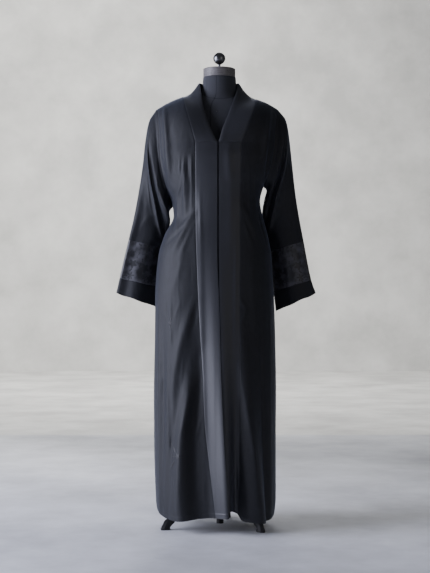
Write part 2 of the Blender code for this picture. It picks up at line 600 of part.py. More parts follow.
def cloth_pieces():
    """All the pieces of the cloak as grids of outer points."""
    fronts = {side: front_grid(side) for side in (-1, 1)}
    back = back_grid()
    plackets = {side: placket_grid(side) for side in (-1, 1)}
    pieces = {
        "back": dict(grid=back, closed=False, facing=-1,
                     sewn=["last_row", "first_column", "last_column"]),
        "neck_band": dict(grid=collar_grid(fronts, plackets), closed=False, facing=-1,
                          sewn=["first_row", "last_row", "last_column"]),
    }
    worn = {-1: "right", 1: "left"}
    for side in (-1, 1):
        pieces[f"front_{worn[side]}"] = dict(
            grid=fronts[side], closed=False, facing=side,
            sewn=["last_row", "first_column", "last_column"])
        pieces[f"placket_{worn[side]}"] = dict(
            grid=plackets[side], closed=False, facing=-side,
            sewn=["last_row", "first_column"])
        loop = armhole_loop(side, fronts[side], back)
        lace_start, lace_end = LACE_SHARES
        spans = {"sleeve": np.linspace(0, lace_start, SLEEVE_RINGS + 1),
                 "sleeve_band": np.linspace(lace_start, lace_end, LACE_RINGS + 1),
                 "cuff": np.linspace(lace_end, 1, CUFF_RINGS + 1)}
        for name, shares in spans.items():
            sewn = ["first_row"] if name == "cuff" else ["first_row", "last_row"]
            pieces[f"{name}_{worn[side]}"] = dict(
                grid=sleeve_grid(side, loop, shares), closed=True, facing=side, sewn=sewn)
    return pieces


# ---------------------------------------------------------------- the dress form and its stand
FORM_CENTRE_X = 0.0135
# Height, half-width, depth to the front and to the back of the form.
FORM_SECTIONS = [
    (0.745, 0.150, 0.100, 0.112), (0.755, 0.156, 0.106, 0.120), (0.82, 0.164, 0.114, 0.130),
    (0.90, 0.160, 0.112, 0.126), (0.97, 0.142, 0.103, 0.112), (1.03, 0.122, 0.096, 0.098),
    (1.08, 0.118, 0.096, 0.092), (1.14, 0.126, 0.106, 0.092), (1.20, 0.140, 0.122, 0.096),
    (1.25, 0.150, 0.128, 0.100), (1.30, 0.158, 0.118, 0.104), (1.345, 0.168, 0.098, 0.102),
    (1.385, 0.176, 0.084, 0.092), (1.412, 0.176, 0.072, 0.078), (1.430, 0.160, 0.065, 0.066),
    (1.443, 0.132, 0.061, 0.062), (1.453, 0.098, 0.058, 0.059), (1.465, 0.070, 0.0555, 0.057),
    (1.485, 0.0595, 0.0530, 0.0555), (1.509, 0.0572, 0.0515, 0.0545), (1.5330, 0.0560, 0.0510, 0.0540)]
FORM_SIDES = 34
CAP_RADIUS, CAP_HEIGHT = 0.0548, 0.0302
CAP_X, CAP_Z = 0.0130, 1.5335
STEM_RADIUS, STEM_HEIGHT = 0.0043, 0.0150
BALL_RADIUS = 0.0208
POLE_RADIUS, POLE_TIP_Z, POLE_TOP_Z = 0.0125, 0.012, 0.7445
HUB_RADIUS, HUB_BOTTOM, HUB_TOP = 0.034, 0.135, 0.215
HUB_RIM, HUB_LOWER_BEVEL, HUB_SHOULDER, HUB_SIDES = 0.006, 0.010, 0.018, 24
# Each leg's direction from the pole in degrees, and how far out its toe reaches.
LEGS = {"leg_right": (198.5, 0.2110), "leg_left": (323.5, 0.1850), "leg_back": (80.0, 0.1870)}
LEG_WIDTH = 0.015
FOOT_LENGTH, FOOT_WIDTH, FOOT_EDGE = 0.034, 0.018, 0.006
LEG_STEPS, LEG_CORNERS = 12, 8
LEG_FULLNESS = 1.08        # makes the eight-sided bar as deep and wide as the round one
# The leg's middle line and its depth, from the hub out to the foot. The outward distances are
# for a toe that reaches out by LEG_REACH, and stretch with it.
LEG_REACH = 0.207
LEG_LINE = Table("share out up depth", [
    (0.00, 0.0350, 0.1780, 0.036), (0.20, 0.0700, 0.1780, 0.032), (0.40, 0.1030, 0.1510, 0.029),
    (0.60, 0.1250, 0.1040, 0.027), (0.80, 0.1500, 0.0550, 0.027), (1.00, 0.1845, 0.0195, 0.028)])


def material(name, colour, roughness, metallic=0.0):
    made = bpy.data.materials.new(name)
    made.use_nodes = True
    made.diffuse_color = (*colour, 1)
    shader = made.node_tree.nodes["Principled BSDF"]
    shader.inputs["Base Color"].default_value = (*colour, 1)
    shader.inputs["Roughness"].default_value = roughness
    shader.inputs["Metallic"].default_value = metallic
    return made


def make_object(name, vertices, faces, made):
    mesh = bpy.data.meshes.new(name)
    mesh.from_pydata([tuple(v) for v in vertices], [], faces)
    mesh.materials.append(made)
    for polygon in mesh.polygons:
        polygon.use_smooth = True
    mesh.set_sharp_from_angle(angle=math.radians(35))
    part = bpy.data.objects.new(name, mesh)
    bpy.context.scene.collection.objects.link(part)
    return part


def lofted(name, rings, made):
    """A closed solid through rings of points, each going round counter-clockwise, lowest first."""
    sides = len(rings[0])
    vertices = [point for ring in rings for point in ring]
    faces = []
    for i in range(len(rings) - 1):
        for j in range(sides):
            a, b = i * sides + j, i * sides + (j + 1) % sides
            faces.append((a, b, b + sides, a + sides))
    faces.append(tuple(reversed(range(sides))))
    top = (len(rings) - 1) * sides
    faces.append(tuple(top + j for j in range(sides)))
    return make_object(name, vertices, faces, made)


def form_ring(z, width, front, back):
    ring = []
    for j in range(FORM_SIDES):
        sine, cosine = math.sin(2 * math.pi * j / FORM_SIDES), math.cos(2 * math.pi * j / FORM_SIDES)
        depth = back if sine >= 0 else front
        ring.append((FORM_CENTRE_X + width * cosine, depth * sine, z))
    return ring


def cylinder(name, radius, bottom, top, x, y, sides, made, bevel=0.0):
    bpy.ops.mesh.primitive_cylinder_add(vertices=sides, radius=radius, depth=top - bottom,
                                        location=(x, y, (top + bottom) / 2))
    part = bpy.context.object
    part.name = part.data.name = name
    part.data.materials.append(made)
    part.data.shade_smooth()
    part.data.set_sharp_from_angle(angle=math.radians(35))
    if bevel:
        edge = part.modifiers.new("Bevel", "BEVEL")
        edge.width, edge.segments, edge.limit_method = bevel, 2, "ANGLE"
    return part


def finial(made):
    """The ball and its short stem, turned as one piece."""
    bottom = CAP_Z + CAP_HEIGHT + SEAM_GAP
    ball_z = bottom + STEM_HEIGHT + math.sqrt(BALL_RADIUS ** 2 - STEM_RADIUS ** 2)
    start = -math.acos(STEM_RADIUS / BALL_RADIUS)
    profile = [(STEM_RADIUS, bottom)]
    for i in range(10):
        turn = start + (math.radians(84) - start) * i / 9
        profile.append((BALL_RADIUS * math.cos(turn), ball_z + BALL_RADIUS * math.sin(turn)))
    rings = [[(CAP_X + r * math.cos(2 * math.pi * j / 20), r * math.sin(2 * math.pi * j / 20), z)
              for j in range(20)] for r, z in profile]
    return lofted("finial", rings, made)


def leg_line(share, reach):
    """The middle line of a leg, out from the pole and up, at a share of its length."""
    share = min(max(share, 0.0), 1.0)
    stretch = 1 + (reach / LEG_REACH - 1) * share
    return np.array([float(LEG_LINE.at("out", share)) * stretch, float(LEG_LINE.at("up", share))])


def leg(name, direction, reach, made):
    """One curved leg with a flat foot, swept along its middle line as a rounded bar."""
    turns = [2 * math.pi * (j + 0.5) / LEG_CORNERS for j in range(LEG_CORNERS)]
    rings = []
    for i in range(LEG_STEPS + 1):
        share = i / LEG_STEPS
        along = unit(leg_line(share + 0.02, reach) - leg_line(share - 0.02, reach))
        if i == 0:
            along = np.array([1.0, 0.0])       # it leaves the hub level
        across = np.array([-along[1], along[0]])
        half = float(LEG_LINE.at("depth", share)) / 2 * LEG_FULLNESS
        ring = []
        for turn in turns:
            out, up = leg_line(share, reach) + across * math.sin(turn) * half
            ring.append((out, math.cos(turn) * LEG_WIDTH / 2 * LEG_FULLNESS, up))
        rings.append(ring)
    toe = [(reach + FOOT_LENGTH / 2 * (math.sin(turn) - 1), FOOT_WIDTH / 2 * math.cos(turn))
           for turn in turns]
    rings.append([(x, y, FOOT_EDGE) for x, y in toe])
    rings.append([(x, y, 0.0) for x, y in toe])
    turn = math.radians(direction)
    placed = [[(POLE_X + x * math.cos(turn) - y * math.sin(turn),
                POLE_Y + x * math.sin(turn) + y * math.cos(turn), z) for x, y, z in ring]
              for ring in rings]
    return lofted(name, placed, made)


def hub(made):
    """The hub is a thick ring round the pole."""
    inner = POLE_RADIUS + SEAM_GAP
    profile = [(inner, HUB_BOTTOM), (HUB_RADIUS - HUB_RIM, HUB_BOTTOM),
               (HUB_RADIUS, HUB_BOTTOM + HUB_LOWER_BEVEL), (HUB_RADIUS, HUB_TOP - HUB_SHOULDER),
               (inner + HUB_RIM, HUB_TOP), (inner, HUB_TOP)]
    vertices, faces = [], []
    for j in range(HUB_SIDES):
        turn = 2 * math.pi * j / HUB_SIDES
        vertices += [(POLE_X + r * math.cos(turn), POLE_Y + r * math.sin(turn), z) for r, z in profile]
    ring = len(profile)
    for j in range(HUB_SIDES):
        k = (j + 1) % HUB_SIDES
        for i in range(ring):
            n = (i + 1) % ring
            faces.append((j * ring + i, k * ring + i, k * ring + n, j * ring + n))
    return make_object("leg_hub", vertices, faces, made)


def build():
    for thing in list(bpy.data.objects):
        bpy.data.objects.remove(thing)
    cloth = material("black crepe cloth", (0.012, 0.012, 0.014), 0.75)
    satin = material("black satin band", (0.020, 0.020, 0.023), 0.45)
    jersey = material("black jersey form cover", (0.018, 0.018, 0.020), 0.85)
    wood = material("stained wooden cap", (0.13, 0.12, 0.11), 0.5)
    iron = material("black cast iron", (0.02, 0.02, 0.02), 0.45, 0.6)
    pieces = cloth_pieces()
    shared_normals(pieces)
    for name, piece in pieces.items():
        banded = "band" in name or "placket" in name
        cloth_wall(name, piece, satin if banded else cloth)
    lofted("form_torso", [form_ring(*row) for row in FORM_SECTIONS], jersey)
    cylinder("neck_cap", CAP_RADIUS, CAP_Z, CAP_Z + CAP_HEIGHT, CAP_X, 0.0, 32, wood, bevel=0.003)
    finial(iron)
    cylinder("pole", POLE_RADIUS, POLE_TIP_Z, POLE_TOP_Z, POLE_X, POLE_Y, 16, iron)
    hub(iron)
    for name, (direction, reach) in LEGS.items():
        leg(name, direction, reach, iron)


build()
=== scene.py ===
# %% [markdown]
# # An abaya cloak on a dress form
# An abaya is a long open cloak of thin black crepe, with a satin band down both fronts and round
# the neck, and wide sleeves that end in a decorated band. It hangs here on a padded dress form
# without limbs, on a pole with a cast foot. The solids of the frame give each piece its size and
# place. This lesson gives each one its fine surface: creases, seams, embroidery and cloth.

# %% Load the frame
import math

import bpy
import numpy as np
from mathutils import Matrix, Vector


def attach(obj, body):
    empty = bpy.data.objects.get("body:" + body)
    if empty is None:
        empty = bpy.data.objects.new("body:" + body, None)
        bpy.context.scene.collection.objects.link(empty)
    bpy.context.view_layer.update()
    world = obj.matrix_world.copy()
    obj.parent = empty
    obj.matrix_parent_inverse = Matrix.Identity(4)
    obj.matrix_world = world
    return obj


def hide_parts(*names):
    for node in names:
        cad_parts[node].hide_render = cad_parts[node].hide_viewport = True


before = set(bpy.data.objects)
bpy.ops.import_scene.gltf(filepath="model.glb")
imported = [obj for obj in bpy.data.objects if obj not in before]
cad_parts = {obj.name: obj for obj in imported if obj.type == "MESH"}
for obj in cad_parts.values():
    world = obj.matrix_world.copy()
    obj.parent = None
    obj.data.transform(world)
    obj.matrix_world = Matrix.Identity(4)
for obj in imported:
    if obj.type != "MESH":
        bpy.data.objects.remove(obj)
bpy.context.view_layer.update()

bpy.ops.object.select_all(action="DESELECT")

# %% [markdown]
# ## Camera
# A long lens, level, at a little above half the cloak's height and 4.2 m away, keeps the
# uprights straight and the cloak's proportions true.

# %% Camera
CAMERA_PLACE = (-0.0017, -4.2, 0.82)
LENS_MM = 77.2
SENSOR_MM = 36
bpy.ops.object.camera_add(location=CAMERA_PLACE, rotation=(math.radians(90), 0, 0))
camera = bpy.context.object
camera.data.lens = LENS_MM
camera.data.sensor_width = SENSOR_MM
bpy.context.scene.camera = camera
print("camera at", tuple(camera.location), "lens", camera.data.lens)

# %% [markdown]
# ## Tables of sizes
# A pattern cutter works from a short table of measurements and draws fair curves through them.
# This small class does the same. Its rows are in millimetres, and its curves never overshoot.

# %% Tables read as fair curves
def fair_slopes(key, values):
    """Slopes at the rows of a table that keep each curve between its neighbours."""
    steps = np.diff(key).reshape((-1,) + (1,) * (values.ndim - 1))
    rates = np.diff(values, axis=0) / steps
    before, after = rates[:-1], rates[1:]
    w1, w2 = 2 * steps[1:] + steps[:-1], steps[1:] + 2 * steps[:-1]
    same = before * after > 0
    inner = (w1 + w2) / (w1 / np.where(same, before, 1) + w2 / np.where(same, after, 1))
    return np.concatenate([rates[:1], np.where(same, inner, 0), rates[-1:]])


def fair_curve(key, values, places):
    """Values at new places along a curve through the rows."""
    slopes = fair_slopes(key, values)
    places = np.clip(places, key[0], key[-1])
    i = np.clip(np.searchsorted(key, places) - 1, 0, len(key) - 2)
    step = key[i + 1] - key[i]
    s = (places - key[i]) / step
    more = s.shape + (1,) * (values.ndim - 1)
    s, step = s.reshape(more), np.broadcast_to(step, np.shape(i)).reshape(more)
    return (values[i] * (1 + 2 * s) * (1 - s) ** 2 + slopes[i] * step * s * (1 - s) ** 2
            + values[i + 1] * s * s * (3 - 2 * s) - slopes[i + 1] * step * s * s * (1 - s))


class Table:
    """Named columns in millimetres, read in metres as fair curves over the first column.

    The first column is a height z, in millimetres too, or else a share or an angle."""

    def __init__(self, columns, rows):
        names = columns.split()
        data = np.array(sorted(rows), dtype=float)
        lengths = slice(0 if names[0] == "z" else 1, None)
        data[:, lengths] /= 1000
        self.key = data[:, 0]
        self.values = dict(zip(names, data.T))

    def at(self, name, key):
        return fair_curve(self.key, self.values[name], np.asarray(key, dtype=float))


print("a quarter of the way to 8 mm:", Table("share x", [(0, 0), (1, 8)]).at("x", 0.25), "m")

# %% [markdown]
# ## The cloak's own sizes
# The body is a stack of full ovals, one row for each height. The two sides differ a little, as
# worn cloth does. Above the underarms the oval is the one that the armhole cuts off.

# %% Body sizes
CROSS_SEAM_Z = 1.300
UNDERARM_Z = {-1: 1.092, 1: 1.160}
ROUNDNESS = 2.25
HEM_LEVEL = 0.05
HEM_EASE = 0.35
SKIRT_ROWS, ARMHOLE_ROWS, SHOULDER_ROWS = 20, 4, 6
FLAT_ROWS = SKIRT_ROWS + ARMHOLE_ROWS
TOP_ROW = FLAT_ROWS + SHOULDER_ROWS
ROW_STEP, SEAM_STEP = 1 / 6, 0.07
NECK_START = 12 / 28         # share of the back's width that one shoulder takes
WORN = {-1: "right", 1: "left"}
BODY = Table("z right left front back", [
    (30, 195, 197, 172, 168), (100, 203.5, 206, 172, 170), (300, 209.5, 206, 165, 168),
    (450, 210.5, 207, 159, 166), (650, 207, 204, 151, 163), (800, 205.5, 198.5, 145, 160),
    (870, 201, 194, 142, 156), (930, 194, 190, 137, 153), (1000, 172, 177, 131, 142),
    (1060, 143, 161, 129, 130), (1110, 150, 152, 132, 125), (1160, 175, 164, 139, 122),
    (1200, 190, 188, 145, 121), (1250, 203, 207, 147, 122), (1300, 212, 219, 138, 122)])
ARMHOLE = {
    -1: Table("z x", [(1092, 147), (1150, 165), (1200, 179), (1250, 188), (1300, 192)]),
    1: Table("z x", [(1160, 163), (1200, 178), (1250, 192), (1300, 199)]),
}
BAND_SEAMS = Table("z right meeting left", [
    (50, 1, 44, 84.3), (150, -12.6, 37.5, 84.3), (260, -26.4, 30.5, 82.6), (370, -38, 25, 81.2),
    (530, -44.6, 19.2, 79.5), (700, -54.5, 14.9, 79.5), (940, -64, 8.3, 82), (1100, -66.8, 8.3, 82.5),
    (1300, -67.2, 8.3, 85)])
COLLAR_SEAM = Table("climb right left", [
    (0, -67.2, 85), (0.25, -85, 108), (0.5, -100, 127), (0.75, -108, 135), (1, -110.5, 138)])
MEETING_GAP = Table("z gap", [(800, 2.2), (900, 4.6), (1300, 4.6)])
BAND_ARCH = Table("climb right left", [
    (0, 4, 4), (0.4, 4, 2), (0.8, -9, -11), (1.2, -11, -11), (1.5, 0, 0)])
COLLAR_EDGE = Table("climb right left y z", [
    (0, 6.2, 10.6, -138.5, 1300), (0.167, -13, 21.5, -124, 1343), (0.333, -28, 36.5, -107, 1383),
    (0.5, -39, 50, -88, 1419), (0.667, -46, 63, -64, 1455.5), (0.833, -51, 74, -35, 1489),
    (1, -55.5, 78.5, -2, 1516), (1.25, -44, 64, 46, 1519.5), (1.5, 10, 10, 69, 1520.5)])
SHOULDER_TIP = {-1: (-0.203, 0.0, 1.4225), 1: (0.2135, 0.0, 1.4235)}
SHOULDER_POINT = {-1: (-0.1105, 0.0, 1.4675), 1: (0.138, 0.0, 1.4590)}
SHOULDER_RISE = 0.004
NECKLINE_BACK_Y = 0.086
HEM = Table("angle z", [
    (-180, 50), (-150, 47), (-120, 60), (-90, 80), (-77, 64), (-56, 46), (-38, 43.5), (-13, 52),
    (0, 56), (10, 60), (15, 66), (21, 66), (27, 43), (36, 40), (52, 35), (63, 37), (79, 46), (90, 52),
    (120, 52), (150, 46), (180, 50)])
print("the cloak is", 2 * float(BODY.at("right", 0.45)), "m wide at the knee")

# %% [markdown]
# ## Folds
# Cloth that hangs from the shoulders falls in long uneven folds. Each row is one fold, drawn as a
# tailor would chalk it, in millimetres: the height where it starts, its place across there, at
# its middle and at its low end, the height of that end, its width at the start and the end, and
# how far it stands out at the middle and the end. These are the large folds that the solids have.

# %% Large folds
FRONT_FOLDS = {
    "trough beside the right band": (640, -46, -78, -72, 40, 14, 22, -12, -11),
    "right band set back": (1000, -68, -52, -33, 40, 30, 45, -14, -32),
    "right band's free edge": (1000, 8, 21, 45, 40, 22, 26, 15, 30),
    "long ridge on the right": (600, -56, -112, -116, 50, 18, 28, 9, 6),
    "trough beyond it": (660, -98, -136, -162, 80, 17, 20, -5, -4),
    "short ridge on the right": (800, -60, -116, -146, 440, 15, 19, 6, 0),
    "trough at the right side": (740, -174, -176, -178, 160, 18, 18, -6, -3),
    "long ridge on the left": (760, 80, 110, 142, 40, 16, 32, 13, 22),
    "trough at the left band": (580, 68, 70, 77, 40, 18, 26, -18, -44),
    "trough beyond the left ridge": (600, 146, 160, 172, 40, 18, 16, -6, -6),
    "chest ridge at the right armhole": (1380, -160, -161, -156, 1180, 13, 13, 7, 0),
    "chest ridge at the left armhole": (1380, 166, 167, 160, 1220, 13, 13, 5, 0),
    "pleat under the right bust": (1240, -103, -99, -104, 1040, 11, 12, 5, 0),
    "pull to the right waist": (1080, -68, -106, -146, 930, 14, 18, 6, 0),
    "pull to the left waist": (1100, 86, 118, 150, 960, 14, 18, 5, 0),
}
BACK_FOLDS = {
    "middle trough": (1040, 4, 0, -8, 40, 24, 30, -10, -18),
    "ridge right of the middle": (1020, -46, -52, -60, 40, 20, 26, 12, 20),
    "ridge left of the middle": (920, 50, 48, 54, 40, 20, 26, 9, 22),
    "trough on the right": (960, -96, -104, -108, 40, 18, 22, -9, -16),
    "trough on the left": (860, 98, 100, 104, 40, 18, 24, -8, -18),
    "outer ridge on the right": (800, -140, -146, -152, 40, 18, 22, 8, 14),
    "outer ridge on the left": (980, 136, 146, 150, 40, 18, 22, 9, 13),
    "trough at the right side": (700, -178, -180, -180, 60, 16, 18, -6, -8),
    "pull from the right shoulder blade": (1300, -110, -80, -50, 1000, 18, 18, 5, 0),
    "pull from the left shoulder blade": (1300, 116, 88, 60, 980, 18, 18, 5, 0),
}
print(len(FRONT_FOLDS) + len(BACK_FOLDS), "large folds on the body")

# %% [markdown]
# ## Fine creases
# Thin crepe also breaks into short sharp creases, where it is pulled at the waist, the bust and
# the armholes. They are written in the same way, and are only in this surface.

# %% Fine creases
FRONT_CREASES = {
    "second pleat under the right bust": (1235, -80, -78, -80, 1060, 4.5, 6, 2.2, 0),
    "first pleat under the right bust": (1235, -106, -103, -108, 1080, 4.5, 6, 2.2, 0),
    "waist ridge": (1130, -128, -128, -134, 980, 9, 10, 3.5, 0),
    "thin pull to the right waist": (1040, -70, -98, -132, 900, 7, 9, 2.2, 0),
    "crease from the waist": (980, -100, -120, -150, 780, 10, 14, 2.2, 0),
    "thin trough on the right": (620, -150, -152, -150, 280, 8, 10, -2.5, 0),
    "thin ridge at the right side": (900, -190, -190, -188, 100, 10, 10, 2.2, 1),
    "short crease above the ridge": (540, -80, -94, -106, 300, 8, 10, 3, 0),
    "low crease on the right": (400, -100, -106, -108, 60, 13, 18, 3, 1),
    "low trough on the right": (300, -128, -134, -132, 50, 10, 12, -1.5, -1),
    "long crease in the right band": (1200, -50, -46, -36, 200, 6, 8, 1.6, 1),
    "crease in the left band": (1260, 52, 50, 48, 860, 10, 12, 2, 0),
    "thin crease in the left band": (1080, 68, 66, 62, 520, 5, 7, 1.4, 0),
    "crease under the left bust": (1230, 112, 112, 118, 1040, 6, 8, 2.2, 0),
    "second crease under the left bust": (1200, 134, 132, 138, 1060, 6, 7, 1.8, 0),
    "thin pull to the left waist": (1060, 84, 110, 140, 920, 7, 10, 2.2, 0),
    "thin trough at the left": (800, 150, 156, 170, 200, 9, 10, -2.2, -1),
    "left side ridge": (860, 182, 184, 186, 80, 12, 12, 1.2, 1),
    "left hip swell": (980, 120, 124, 130, 660, 14, 16, 2.2, 0),
}
BACK_CREASES = {
    "waist crease on the right": (1160, -100, -84, -60, 980, 8, 9, 2.6, 0),
    "waist crease on the left": (1180, 112, 94, 70, 1000, 8, 9, 2.6, 0),
    "second waist crease": (1120, -50, -36, -16, 960, 8, 9, 2, 0),
    "thin trough by the middle": (800, -24, -28, -32, 100, 8, 10, -2.6, -2),
    "thin ridge by the middle": (700, 24, 22, 24, 60, 8, 10, 2.8, 3),
    "low crease on the right": (520, -82, -84, -86, 50, 8, 10, 3, 3),
    "low crease on the left": (600, 78, 78, 80, 50, 8, 10, 2.6, 3),
    "thin trough at the right": (660, -126, -130, -132, 50, 8, 10, -2.6, -3),
    "thin trough at the left": (740, 120, 124, 126, 50, 8, 10, -2.4, -3),
    "side ridge on the right": (940, -164, -168, -168, 60, 9, 10, 2.6, 2),
    "side ridge on the left": (900, 168, 170, 172, 60, 9, 10, 2.4, 2),
    "pull at the right armhole": (1300, -168, -150, -120, 1100, 8, 10, 2.6, 0),
    "pull at the left armhole": (1300, 172, 156, 130, 1120, 8, 10, 2.6, 0),
}
FRONT_ALL, BACK_ALL = {**FRONT_FOLDS, **FRONT_CREASES}, {**BACK_FOLDS, **BACK_CREASES}
print(len(FRONT_CREASES) + len(BACK_CREASES), "fine creases on the body")

# %% [markdown]
# ## Chalked lines
# The creases that give this cloak its own look are bent in several ways, so each is drawn through
# as many points as it needs: how far it stands out, how wide it is, and its height and sideways
# place at each point from the top down. Each fades out at both ends.

# %% Chalked lines
FRONT_LINES = {
    "ridge beside the right band": (3.4, 8, [
        (558, -58.1), (511, -69.4), (469, -79.3), (416, -92.5), (366, -103.4), (313, -116.9)]),
    "valley between it and the band": (-2.6, 7, [
        (531, -47.6), (462, -58.1), (416, -74.3), (356, -90.1), (303, -95.8)]),
    "small ridge by the band": (2.2, 5, [(393, -47.6), (346, -62.8), (303, -74.3)]),
    "valley at the right thigh": (-3, 7, [(775, -62.8), (703, -74.3), (650, -90.1)]),
    "streak below the thigh": (1.4, 5, [(607, -103.4), (544, -110.6), (488, -116.9)]),
    "low ridge on the right": (1, 8, [(188, -127.1), (129, -125.5), (59, -125.5)]),
    "low valley on the right": (-1, 9, [(188, -109), (129, -107.3), (59, -105.7)]),
    "low streak near the band": (1.2, 4, [(188, -43), (109, -41.6)]),
    "short valley at the right side": (-1.6, 6, [(518, -178.3), (439, -176.6)]),
    "left ridge's bright flank": (3.4, 8, [
        (581, 74.9), (531, 84), (462, 92.5), (393, 102), (330, 112), (267, 120), (198, 125), (120, 129)]),
    "line inside the left ridge": (-2.8, 5, [(472, 82.5), (406, 84.1), (327, 89.1)]),
    "streak by the left band": (1.4, 4, [(310, 72.6), (228, 79.2), (135, 85.8)]),
    "hooked crease, upper": (3, 5, [(779, 79.2), (742, 102.3)]),
    "hooked crease, lower": (2.8, 5, [(749, 102.3), (706, 89.1)]),
    "drape to the right waist": (2.6, 6, [(1069, -69.4), (1033, -102.4), (997, -133.7)]),
    "hollow under that drape": (-2.6, 7, [(1039, -76), (1000, -125.5), (957, -171.7)]),
    "first pleat at the bust": (2, 4, [(1244, -118.9), (1185, -118.9)]),
    "second pleat at the bust": (2.2, 4, [(1251, -102.4), (1175, -112.3), (1115, -128.8)]),
    "hollow beside the pleats": (-2.2, 4, [(1254, -92.5), (1171, -92.5)]),
    "third pleat at the bust": (2, 4, [(1261, -79.3), (1171, -79.3)]),
    "fullness at the bust's side": (3, 10, [(1270, -153.5), (1178, -152.5)]),
    "hollow along the right armhole": (-4, 8, [
        (1383, -184.9), (1303, -188.8), (1237, -181.6), (1158, -160.1)]),
    "ridge beside that hollow": (2.2, 5, [(1403, -165.1), (1343, -168.4), (1303, -165.1)]),
    "small drape at the armhole": (2, 4, [(1270, -178.3), (1218, -166.7)]),
    "stripe in the right band": (0.9, 6, [(1152, -54.5), (1072, -51.2), (954, -48.2)]),
    "fullness of the left band": (3.2, 11, [(1300, 44.8), (1170, 44.8)]),
    "hollow along the left armhole": (-4, 8, [(1284, 176.5), (1237, 173.2), (1165, 165)]),
    "drape to the left hip": (-2.2, 7, [(1063, 141.9), (1006, 158.4), (954, 173.2)]),
    "pull above the upper sprig": (1.6, 4, [(789, -149.2), (709, -148.6)]),
    "pull below the upper sprig": (1.6, 4, [(686, -148.6), (620, -147.6)]),
    "hollow by the upper sprig": (-1.4, 4, [(775, -160.8), (703, -159.1)]),
    "slanted pull at the upper sprig": (1.4, 4, [(772, -115.6), (713, -137)]),
    "pull left of the upper sprig": (1, 4, [(746, -181.6), (703, -161.8)]),
    "dimple at the lower sprig": (-2.6, 5, [(323, -149.9), (277, -149.2)]),
    "pull at the lower sprig": (1.6, 3, [(313, -146.6), (267, -130.4)]),
    "short pull below the lower sprig": (1.8, 4, [(244, -137), (211, -150.2)]),
}
print(len(FRONT_LINES), "chalked lines on the fronts")

# %% [markdown]
# ## The body's surface
# A point of the body is found from the angle round its oval and its height. The oval gives the
# plain place, and all the folds that pass near it push it in or out along the oval's normal.

# %% Points of the body
FADE_POWER, SLOPE_STEP = 0.7, 0.003


def superellipse(angle):
    """The sideways and forward shares of a full oval, signed."""
    return [np.sign(v) * np.abs(v) ** (2 / ROUNDNESS) for v in (np.sin(angle), np.cos(angle))]


def half_width(side, z):
    return np.where(np.asarray(side) < 0, BODY.at("right", z), BODY.at("left", z))


def section_angle(x, z):
    """The front angle at which the section at height z reaches x."""
    side = np.where(np.asarray(x) < 0, -1, 1)
    share = np.clip(np.abs(x) / half_width(side, z), 0, 1)
    return side * np.arcsin(share ** (ROUNDNESS / 2))


def through(start, middle, end, s):
    """A curve through three values, read at shares of the way."""
    return start * (1 - s) * (1 - 2 * s) + middle * 4 * s * (1 - s) + end * s * (2 * s - 1)


def crest(angle, radius, x, z, width):
    """The cross-section of a fold that runs through x at height z: 1 there, 0 far from it."""
    away = (angle - section_angle(x, z)) * radius / width
    return np.exp(-away * away)


def fold_rise(folds, angle, z, front):
    """How far the folds of the front or back move the surface at each place."""
    turn = angle if front else (math.pi - np.abs(angle)) * np.where(angle >= 0, 1, -1)
    radius = (BODY.at("left", z) + BODY.at("front" if front else "back", z)) / 2
    total = np.zeros_like(angle)
    for row in folds.values():
        top, x_top, x_mid, x_low, low, width_top, width_low, rise_mid, rise_low = np.array(row) / 1000
        s = (top - z) / (top - low)
        active = (s > 0) & ((s < 1) | (rise_low != 0))
        s = np.clip(s, 0, 1)
        width = width_top * (1 - s) + width_low * s
        shape = crest(turn, radius, through(x_top, x_mid, x_low, s), z, width)
        total += np.where(active, through(0, rise_mid, rise_low, s) * shape, 0.0)
    return total


def line_rise(lines, angle, z):
    """The same for the chalked lines of the front."""
    radius = (BODY.at("left", z) + BODY.at("front", z)) / 2
    total = np.zeros_like(angle)
    for rise, width, points in lines.values():
        heights, places = np.array(points[::-1]).T / 1000
        low, high = heights[0], heights[-1]
        near = (z > low) & (z < high)
        if not near.any():
            continue
        level = z[near]
        x = fair_curve(heights, places, level)
        next_x = fair_curve(heights, places, np.minimum(level + SLOPE_STEP, high))
        slant = np.sqrt(1 + ((next_x - x) / SLOPE_STEP) ** 2)
        fade = np.sin(math.pi * (level - low) / (high - low)) ** FADE_POWER
        total[near] += rise / 1000 * fade * crest(angle[near], radius[near], x, level, width / 1000 * slant)
    return total


def body_points(angle, z):
    """Points of the body's surface at section angles and heights, folds included."""
    angle, z = np.broadcast_arrays(np.asarray(angle, float), np.asarray(z, float))
    sine, cosine = superellipse(angle)
    width = half_width(np.where(sine >= 0, 1, -1), z)
    front = cosine >= 0
    depth = np.where(front, BODY.at("front", z), BODY.at("back", z))
    normal = np.stack([np.sin(angle) / width, -np.cos(angle) / depth, np.zeros_like(z)], axis=-1)
    normal /= np.linalg.norm(normal, axis=-1, keepdims=True)
    front_rise = fold_rise(FRONT_ALL, angle, z, True) + line_rise(FRONT_LINES, angle, z)
    rise = np.where(front, front_rise, fold_rise(BACK_ALL, angle, z, False))
    return np.stack([width * sine, -depth * cosine, z], axis=-1) + normal * rise[..., None]


print("middle of the front at the knee:", body_points(0.0, 0.45).round(4))

# %% [markdown]
# ## Rows and seams
# The pattern pieces are laid out in rows from the hem up and columns from seam to seam. Rows are
# counted as in the solids, 24 to the level where the neckband starts and 6 more over the
# shoulder, but a row here may be a fraction, so the surface is drawn as finely as wanted.

# %% Rows and seams
NEAR_A_SEAM = np.array([0.3, 0.6, 1.0])


